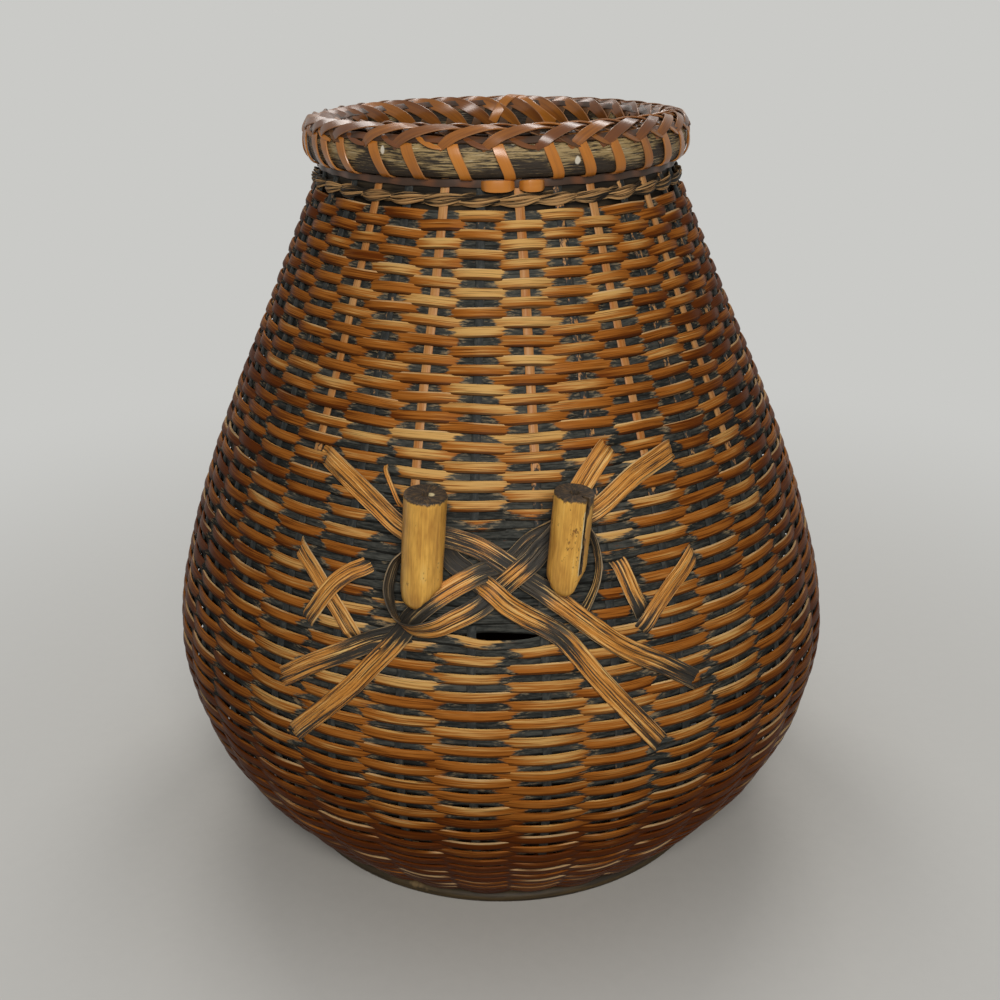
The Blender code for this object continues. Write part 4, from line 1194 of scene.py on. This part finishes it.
def plait_strip(bundle, sizes, k, start, gap, inner):
    """One crescent of the plait, which stands up at the front and lies flat at the back."""
    front = math.cos(start)
    tall = float(np.clip(0.25 + 0.95 * front, 0.0, 1.0))
    table = np.array(PLAIT_TALL) * tall + np.array(PLAIT_FLAT) * (1.0 - tall)
    broaden = 1.0
    if inner:
        hang = float(np.clip(-0.1 - 1.6 * front, 0.0, 1.0))
        table = table * (1.0 - hang) + np.array(PLAIT_HANG) * hang
        broaden = 1.3 if front < 0.0 else 1.0
    table[:, 0] *= 0.5 + 0.5 * gap / SPACING
    centres, facings, way = rim_line(table, start, 30, PLAIT_LEVEL, inner)
    taper = np.clip(0.62 + 2.6 * way, 0.0, 1.0) * np.clip(0.6 + 1.8 * (1.0 - way), 0.0, 1.0)
    # Painted shade: darker where the crescent runs into the middle of the rim, and for the outer
    # crescents towards the sides and the back.
    shade = 0.75 * ramp(way, 0.72, 1.0) + 0.12
    if not inner:
        shade = shade + 0.5 * (1.0 - max(front + 0.35, 0.0))
    bundle.add(centres, facings, sizes.plait_width * taper * broaden, LASHING_THICKNESS,
               seed=k * 1.9 + 40.0 * inner, tone=-0.35 + 0.35 * dice(k, 3.0 + inner),
               shade=shade, edge=STRIP_EDGE)


def pad_rim(bundle):
    """Dark strands that run between the plait and the rods, outside and inside."""
    u = np.arange(STAKES * 16) / 16.0
    for k, (radius, height, tilt) in enumerate(RIM_PADS):
        weave = np.cos(TURN * u + k)
        centres = ring_point(u * SPACING, radius * MM + 0.2 * MM * weave,
                             height * MM + 0.15 * MM * np.sin(TURN * u + k))
        bundle.add(centres, ring_point(u * SPACING, tilt, math.sqrt(1.0 - tilt ** 2)), PAD_WIDTH,
                   PAD_THICKNESS, closed=True, seed=60.0 + k, tone=-0.6,
                   shade=0.85 + 0.3 * weave)


def end_plait(bundle):
    """The end of the plait at the back, where the last two strips cross in a V."""
    for k, (table, width) in enumerate(REVERSE_STRIPS):
        centres, facings, way = rim_line(table, math.pi, 26, REVERSE_LEVEL)
        # Painted shade: each strip darkens towards both ends.
        bundle.add(centres, facings, width * MM, REVERSE_THICKNESS, seed=90.0 + k,
                   tone=0.25, shade=0.2 + 0.4 * ramp(np.abs(way - 0.5), 0.35, 0.6),
                   edge=STRIP_EDGE)


def tie_rim(paint):
    """Two short glossy ties that bulge between the twined band and the hoop."""
    finish = wrap_finish(paint)
    across = np.linspace(-1.0, 1.0, 25)
    radius = TIE_RADIUS - 2.9 * MM * np.abs(across) ** 4 - 0.4 * MM * across ** 2
    for k, (degrees, width) in enumerate(RIM_TIES):
        turn = math.radians(degrees) + across * width / 2.0 / TIE_REACH
        bundle = Bundle()
        # Painted shade: each tie darkens towards both ends, where it tucks in.
        bundle.add(ring_point(turn, radius, TIE_HEIGHT), ring_point(turn, 1.0, 0.0),
                   TIE_WIDTH * (1.0 - 0.28 * np.abs(across) ** 3), TIE_THICKNESS,
                   seed=k + 5.0, tone=0.55, shade=np.abs(across) ** 5 * 0.6 - 0.2,
                   edge=STRIP_EDGE)
        bundle.build(f"neck_tie_{k + 1}", finish, "lashing_bamboo", f"rim_tie_{k + 1}")


def strap_section(count, strand):
    """A fibrous section: flat beneath, with long ridges on top that change along the strap."""
    shape = np.empty((count, 15, 2))
    shape[:, (0, 1, 2, 14)] = ((-0.94, -1.0), (0.94, -1.0), (1.0, -0.1), (-1.0, -0.1))
    along = np.arange(count) * 0.02
    for k, column in enumerate(np.linspace(0.93, -0.93, 11)):
        ridge = 0.30 * dice(k * 3 + strand * 17, 6.0) + 0.22 * wander(along + k * 5.7, 7.0 + strand)
        shape[:, 3 + k, 0] = column + 0.03 * wander(along * 2.0 + k, 8.0 + strand)
        shape[:, 3 + k, 1] = 0.72 + ridge + (0.12 if abs(column) > 0.9 else 0.0)
    return shape


def tie_straps(sizes, paint):
    """Five straps and a loop laced round the pegs, and two pairs of short straps beside them."""
    finish = strap_finish(paint)
    for strand, name in enumerate(name for name in STRAPS if name not in SPLINTERED):
        width = (sizes.accent_width if name.startswith("accent") else
                 sizes.loop_width if "loop" in name else sizes.strap_width)
        lines = [(name, width)]
        if name in SPLINTERED.values():
            lines += [(splinter, SPLINTER_WIDTH) for splinter in SPLINTERED]
        bundle = Bundle()
        for line, wide in lines:
            centres, facings, wear = strap_points(line)
            shape = strap_section(len(centres), strand)
            fray = 1.0 + 0.035 * wander(np.arange(len(centres)) / 9.0, 12.0 + strand)
            bundle.add(centres, facings, wide * fray, sizes.strap_thickness, shape,
                       seed=strand * 2.1, wear=wear, edge=np.abs(shape[..., 0]))
        bundle.build(f"{name}_strip", finish, "strap_bamboo", name)


def cut_pegs(paint):
    """Two bamboo pegs with whittled feet and scorched tops, the right one split by drying."""
    finish = peg_finish(paint)
    for name, degrees, foot, length, radius, pith, standoff, lean in PEGS:
        angle, length, radius = math.radians(degrees), length * MM, radius * MM
        peg = cut_peg(name, length, radius, pith * MM)
        split = name == SPLIT_PEG
        if split:
            set_back(peg, radius)
            split_peg(peg, length, radius)
        mark_peg(peg, length, radius, split)
        off = Vector((math.sin(angle), -math.cos(angle), 0.0)) * standoff * MM
        place = Matrix.Translation(Vector(wall_point(angle, foot * WALL_TOP, 0.0)) + off)
        for turn, axis in ((angle, "Z"), (math.radians(lean), "Y"), (PEG_TILT, "X")):
            place = place @ Matrix.Rotation(turn, 4, axis)
        peg.data.transform(place)
        finish_piece(peg, finish, "basket", "peg_bamboo", name, smooth=50.0)


def cut_peg(name, length, radius, pith):
    """A round stub on a whittled foot, with its rind, its hollow top and its pith hole."""
    peg = start_mesh(f"{name}_stub", bpy.ops.mesh.primitive_circle_add, vertices=48,
                     radius=radius * PEG_FOOT[0][1], fill_type="NGON")
    steps = [(z * PEG_TIP, share) for z, share in PEG_FOOT]
    for z in np.linspace(PEG_TIP, length - 0.5 * MM, 22)[1:]:
        steps.append((z, 1.0 + 0.012 * float(wander(z / PEG_TIP, 3.0))))
    grow_profile(steps + [(length - 0.1 * MM, 0.985), (length, 0.94)])
    bpy.ops.mesh.inset(thickness=radius * 0.30)
    bpy.ops.transform.translate(value=(0.0, 0.0, -0.25 * MM))
    bpy.ops.mesh.inset(thickness=radius * 0.64 - pith)
    grow(-1.2 * MM, 0.85, length - 1.4 * MM)
    grow(-6.0 * MM, 0.8, length - 7.4 * MM)
    close_mesh(turn_out=True)
    for vertex in peg.data.vertices:
        for side, inset, run in PEG_CUTS[name]:
            limit = radius * inset + radius * (1.0 - inset) * vertex.co.z / (run * MM)
            vertex.co.x = side * min(side * vertex.co.x, limit)
    return peg


def set_back(peg, radius):
    """Let the wood to the right of the crack lie a little deeper than that to its left."""
    for vertex in peg.data.vertices:
        place = vertex.co
        past = wrap_angle(math.atan2(place.x, -place.y) - SPLIT_TURN)
        if past > 0.0 and math.hypot(place.x, place.y) > 0.4 * radius:
            share = 1.0 - 0.09 * math.exp(-past / 0.7)
            place.x *= share
            place.y *= share


def split_peg(peg, length, radius):
    """Cut the drying crack down the side with a thin wedge."""
    wedge = start_mesh("crack_wedge", bpy.ops.mesh.primitive_cube_add, size=1.0)
    bpy.ops.mesh.subdivide(number_cuts=7)
    close_mesh()
    for vertex in wedge.data.vertices:
        across, deep, up = vertex.co
        z = length * (0.18 + 0.86 * (up + 0.5))
        wide = CRACK_WIDTH * (0.60 + 0.4 * (up + 0.5)) * (0.3 + 0.7 * (0.5 - deep))
        x = across * wide + 0.35 * MM * float(wander(z / (6.0 * MM), 5.0))
        y = (deep + 0.5) * CRACK_DEPTH - radius * 1.1
        vertex.co = Matrix.Rotation(SPLIT_TURN, 3, "Z") @ Vector((x, y, z))
    wedge.data.update()
    cut = peg.modifiers.new("crack", "BOOLEAN")
    cut.operation = "DIFFERENCE"
    cut.solver = "EXACT"
    cut.object = wedge
    select_only(peg)
    bpy.ops.object.modifier_apply(modifier=cut.name)
    bpy.data.objects.remove(wedge)


def mark_peg(peg, length, radius, split):
    """Write the peg's grain, where it is scorched, where painted shade darkens its crack and
    hollow, and where it is peeled and chipped.
    """
    mark_rounds(peg, radius, 3.0 if split else 1.0, upright=True)
    x, y, z = read_points(peg.data)
    angle, distance = np.arctan2(x, -y), np.hypot(x, y)
    # The hollow top is scorched, and its pith hole is darkened the same way as painted shade.
    inside = (distance < radius * 0.9) & (z > length - 12.0 * MM)
    scorch_and_shade = np.where(inside, 0.9, 0.75 * ramp(z, length - 1.9 * MM, length))
    if split:
        right = bell((angle - 0.9) / 0.5) * ramp(z, length - 9.0 * MM, length)
        # Painted shade: on the split peg the faces of the crack, and all else inside the rind from
        # 9 mm up, are darkened like the scorch.
        inner = (distance < radius * 0.93) & (z > 9.0 * MM)
        scorch_and_shade = np.maximum(np.maximum(scorch_and_shade, 0.8 * right), np.where(inner, 0.85, 0.0))
        peel = bell((angle + 0.1) / 0.35) * bell((z - 25.0 * MM) / (9.0 * MM))
        past = angle - SPLIT_TURN
        chip = (past < -0.03) & (past > -0.19) & (distance > 0.93 * radius)
        chip = 0.75 * (chip & (z > 10.0 * MM) & (z < length - 4.0 * MM))
    else:
        peel = np.full(len(x), -0.1)
        chip = bell((x - 0.25 * radius) / (1.3 * MM)) * bell((y - 0.1 * radius) / (1.8 * MM))
        chip = chip * (z > length - 2.2 * MM)
    for name, values in (("scorch_and_shade", scorch_and_shade), ("peel", peel), ("chip", chip)):
        write_mark(peg.data, name, values)


def make_base():
    """The rod on which the basket stands and the woven bottom inside it."""
    ring = bend_ring("foot_rod", FOOT_RADIUS, FOOT_WIDTH, FOOT_DEPTH, FOOT_DEPTH / 2.0, 264, 18)
    mark_rounds(ring, FOOT_RADIUS, 5.0)
    finish_piece(ring, foot_finish(), "basket", "dark_bamboo", "base_ring")
    bundle = Bundle()
    for way in range(2):
        for k in range(MAT_STRIPS):
            mat_strip(bundle, k, way)
    bundle.build("bottom_weave", mat_finish(), "dark_bamboo", "base_mat")


def mat_strip(bundle, k, way):
    """One strip of the plain weave, across or along, cut to the round of the bottom."""
    offset = (k - (MAT_STRIPS - 1) / 2.0) * MAT_PITCH
    half = math.sqrt(max(MAT_REACH ** 2 - (abs(offset) + MAT_CORNER) ** 2, 0.0))
    if half < MAT_SHORTEST:
        return
    at = np.linspace(-half, half, int(half / SAMPLE_STEP) + 8)
    lift = MAT_LIFT * np.cos(math.pi * (at / MAT_PITCH + (MAT_STRIPS - 1) / 2.0 + k + way))
    line = np.stack([at, np.full(len(at), offset), MAT_LEVEL + lift], -1)
    line = line[:, [1, 0, 2]] if way else line
    bundle.add(line, np.tile((0.0, 0.0, 1.0), (len(at), 1)), MAT_WIDTH, MAT_THICKNESS,
               seed=k * 1.3 + way * 50.0)


def make_liner(paint):
    """Round water liner with a folded bottom edge and a rolled bead at its mouth."""
    start = LINER_RADIUS - LINER_PROFILE[0][1] * MM
    liner = start_mesh("liner_can", bpy.ops.mesh.primitive_circle_add, vertices=96, radius=start,
                       fill_type="NGON", location=(0.0, 0.0, LINER_FOOT))
    steps = [(z * MM, LINER_RADIUS - inset * MM) for z, inset in LINER_PROFILE]
    centre = LINER_TOP - LINER_FOOT - LINER_BEAD
    for turn in range(-60, 181, 30):
        a = math.radians(turn)
        steps.append((centre + LINER_BEAD * math.sin(a), LINER_RADIUS + LINER_BEAD * math.cos(a)))
    lip = steps[-1][0] - 0.6 * MM
    steps += [(lip, LINER_RADIUS - LINER_WALL - 0.1 * MM)]
    steps += [(2.0 * MM, steps[-1][1])]
    grow_profile(steps, LINER_FOOT)
    close_mesh(turn_out=True)
    mark_rounds(liner, LINER_RADIUS, 2.0)
    finish_piece(liner, liner_finish(paint), "liner", "liner_metal", "water_liner", smooth=50.0)


def fill_rim():
    """The filler strip on the ends of the stakes, between the rods and under the plait."""
    filler = bend_ring("rim_filler", RIM_MIDDLE, FILLER_WIDTH, FILLER_DEPTH, FILLER_LEVEL, 198, 14)
    finish_piece(filler, filler_finish(), "basket", "dark_bamboo", "rim_core")


def set_stage(paint):
    """Pale floor, soft lamps, pale surroundings and the camera of the photograph."""
    floor = start_mesh("floor", bpy.ops.mesh.primitive_circle_add, vertices=96, radius=40.0,
                       fill_type="NGON")
    bpy.ops.mesh.inset(thickness=36.0)
    close_mesh()
    floor.data.materials.append(floor_finish(paint))
    scene = bpy.context.scene
    for name, place, aim, size, power, colour in LAMPS:
        lamp = bpy.data.lights.new(name, "AREA")
        lamp.size, lamp.energy, lamp.color = size, power, colour
        obj = bpy.data.objects.new(name, lamp)
        obj.location = place
        obj.rotation_euler = (Vector(aim) - Vector(place)).to_track_quat("-Z", "Y").to_euler()
        scene.collection.objects.link(obj)
    light_world(paint)
    camera = bpy.data.objects.new("camera", bpy.data.cameras.new("camera"))
    camera.data.lens = CAMERA_LENS
    camera.data.sensor_width = 36.0
    camera.data.clip_start = 0.01
    camera.location = CAMERA_PLACE
    turn = Matrix.Rotation(CAMERA_TILT, 3, "X") @ Matrix.Rotation(CAMERA_ROLL, 3, "Z")
    camera.rotation_euler = turn.to_euler()
    scene.collection.objects.link(camera)
    scene.camera = camera
    scene.view_settings.view_transform = "Standard"


def floor_finish(paint):
    """Pale floor that keeps the shadow near the basket and fades into the backdrop far off."""
    f = Finish("floor_paper", by_place=True, Specular_IOR_Level=0.0, Emission_Color=paint.backdrop)
    speck = f.noise((160.0, 160.0, 160.0), 3.0, 0.6)
    seen = f.seen()
    pale = f.blend(f.span(speck, -0.3, 0.3), dim(paint.floor, 0.97), paint.floor)
    colour = f.blend(seen, paint.floor_bounce, pale)
    far = f.node("VectorMath", ((0, f.grain),), operation="LENGTH").outputs["Value"]
    far = f.sum((f.span(far, 0.09, 0.24), 0.4), (f.span(far, 0.1, 0.7), 0.6))
    lit = f.times(far, seen)
    f.feed(f.shader.inputs["Emission Strength"], lit)
    return f.done(f.cover(colour, (0.0, 0.0, 0.0), lit), 0.85, speck, 0.1 * MM, 0.2)


def light_world(paint):
    """Low even light, with the backdrop's colour wherever it is seen or mirrored."""
    world = bpy.data.worlds.new("studio")
    bpy.context.scene.world = world
    air = Nodes(world)
    cast, seen = (air.node("Background", (("Color", colour), ("Strength", strength))).outputs[0]
                  for colour, strength in (((1.0, 0.99, 0.97), 0.045), (paint.backdrop, 1.0)))
    mix = air.node("MixShader", ((0, air.seen()), (1, cast), (2, seen)))
    air.feed(air.tree.nodes["World Output"].inputs["Surface"], mix.outputs[0])


def chosen(context):
    """The sizes and the colours as they are set in the panel."""
    return context.scene.basket_sizes, context.scene.basket_colours


class BASKET_OT_set_stage(bpy.types.Operator):
    """Set the floor, the lamps, the surroundings and the camera"""
    bl_idname = "basket.set_stage"
    bl_label = "Set the stage"

    def execute(self, context):
        set_stage(context.scene.basket_colours)
        return {"FINISHED"}


class BASKET_OT_make_base(bpy.types.Operator):
    """Bend the foot rod and weave the bottom"""
    bl_idname = "basket.make_base"
    bl_label = "Make the base"

    def execute(self, context):
        make_base()
        return {"FINISHED"}


class BASKET_OT_set_stakes(bpy.types.Operator):
    """Set the upright stakes"""
    bl_idname = "basket.set_stakes"
    bl_label = "Set the stakes"

    def execute(self, context):
        set_stakes(*chosen(context))
        return {"FINISHED"}


class BASKET_OT_weave_wall(bpy.types.Operator):
    """Weave the wall from one strip that climbs round the stakes"""
    bl_idname = "basket.weave_wall"
    bl_label = "Weave the wall"

    def execute(self, context):
        weave_wall(*chosen(context))
        return {"FINISHED"}


class BASKET_OT_twine_neck(bpy.types.Operator):
    """Twine the band that closes the weave under the rim"""
    bl_idname = "basket.twine_neck"
    bl_label = "Twine the neck"

    def execute(self, context):
        twine_neck()
        return {"FINISHED"}


class BASKET_OT_bend_rods(bpy.types.Operator):
    """Bend the two rods of the rim and dress the filler between them"""
    bl_idname = "basket.bend_rods"
    bl_label = "Bend the rim's rods"

    def execute(self, context):
        bend_rods(context.scene.basket_colours)
        fill_rim()
        return {"FINISHED"}


class BASKET_OT_lash_rim(bpy.types.Operator):
    """Wind and plait the strip on the rim and tie its two ties"""
    bl_idname = "basket.lash_rim"
    bl_label = "Lash the rim"

    def execute(self, context):
        lash_rim(*chosen(context))
        tie_rim(context.scene.basket_colours)
        return {"FINISHED"}


class BASKET_OT_cut_pegs(bpy.types.Operator):
    """Cut the two pegs"""
    bl_idname = "basket.cut_pegs"
    bl_label = "Cut the pegs"

    def execute(self, context):
        cut_pegs(context.scene.basket_colours)
        return {"FINISHED"}


class BASKET_OT_tie_straps(bpy.types.Operator):
    """Lace the knot's straps round the pegs and lay the accent straps"""
    bl_idname = "basket.tie_straps"
    bl_label = "Tie the straps"

    def execute(self, context):
        tie_straps(*chosen(context))
        return {"FINISHED"}


class BASKET_OT_make_liner(bpy.types.Operator):
    """Shape the water liner that stands inside"""
    bl_idname = "basket.make_liner"
    bl_label = "Make the liner"

    def execute(self, context):
        make_liner(context.scene.basket_colours)
        return {"FINISHED"}


STEPS = ("set_stage", "make_base", "set_stakes", "weave_wall", "twine_neck", "bend_rods",
         "lash_rim", "cut_pegs", "tie_straps", "make_liner")


class BASKET_PT_steps(bpy.types.Panel):
    """Sizes, colours and steps of the basket"""
    bl_idname = "BASKET_PT_steps"
    bl_label = "Ikebana basket"
    bl_space_type = "VIEW_3D"
    bl_region_type = "UI"
    bl_category = "Basket"

    def draw(self, context):
        for group in chosen(context):
            box = self.layout.box()
            for name in group.bl_rna.properties.keys():
                if name not in ("rna_type", "name"):
                    box.prop(group, name)
        column = self.layout.column(align=True)
        for step in STEPS:
            column.operator(f"basket.{step}")


CLASSES = (BasketSizes, BasketColours, BASKET_OT_set_stage, BASKET_OT_make_base,
           BASKET_OT_set_stakes, BASKET_OT_weave_wall, BASKET_OT_twine_neck, BASKET_OT_bend_rods,
           BASKET_OT_lash_rim, BASKET_OT_cut_pegs, BASKET_OT_tie_straps, BASKET_OT_make_liner,
           BASKET_PT_steps)


def register():
    for made in CLASSES:
        bpy.utils.register_class(made)
    bpy.types.Scene.basket_sizes = bpy.props.PointerProperty(type=BasketSizes)
    bpy.types.Scene.basket_colours = bpy.props.PointerProperty(type=BasketColours)


def unregister():
    del bpy.types.Scene.basket_colours
    del bpy.types.Scene.basket_sizes
    for made in reversed(CLASSES):
        bpy.utils.unregister_class(made)


def main():
    register()
    for step in STEPS:
        getattr(bpy.ops.basket, step)()


if __name__ == "__main__":
    main()
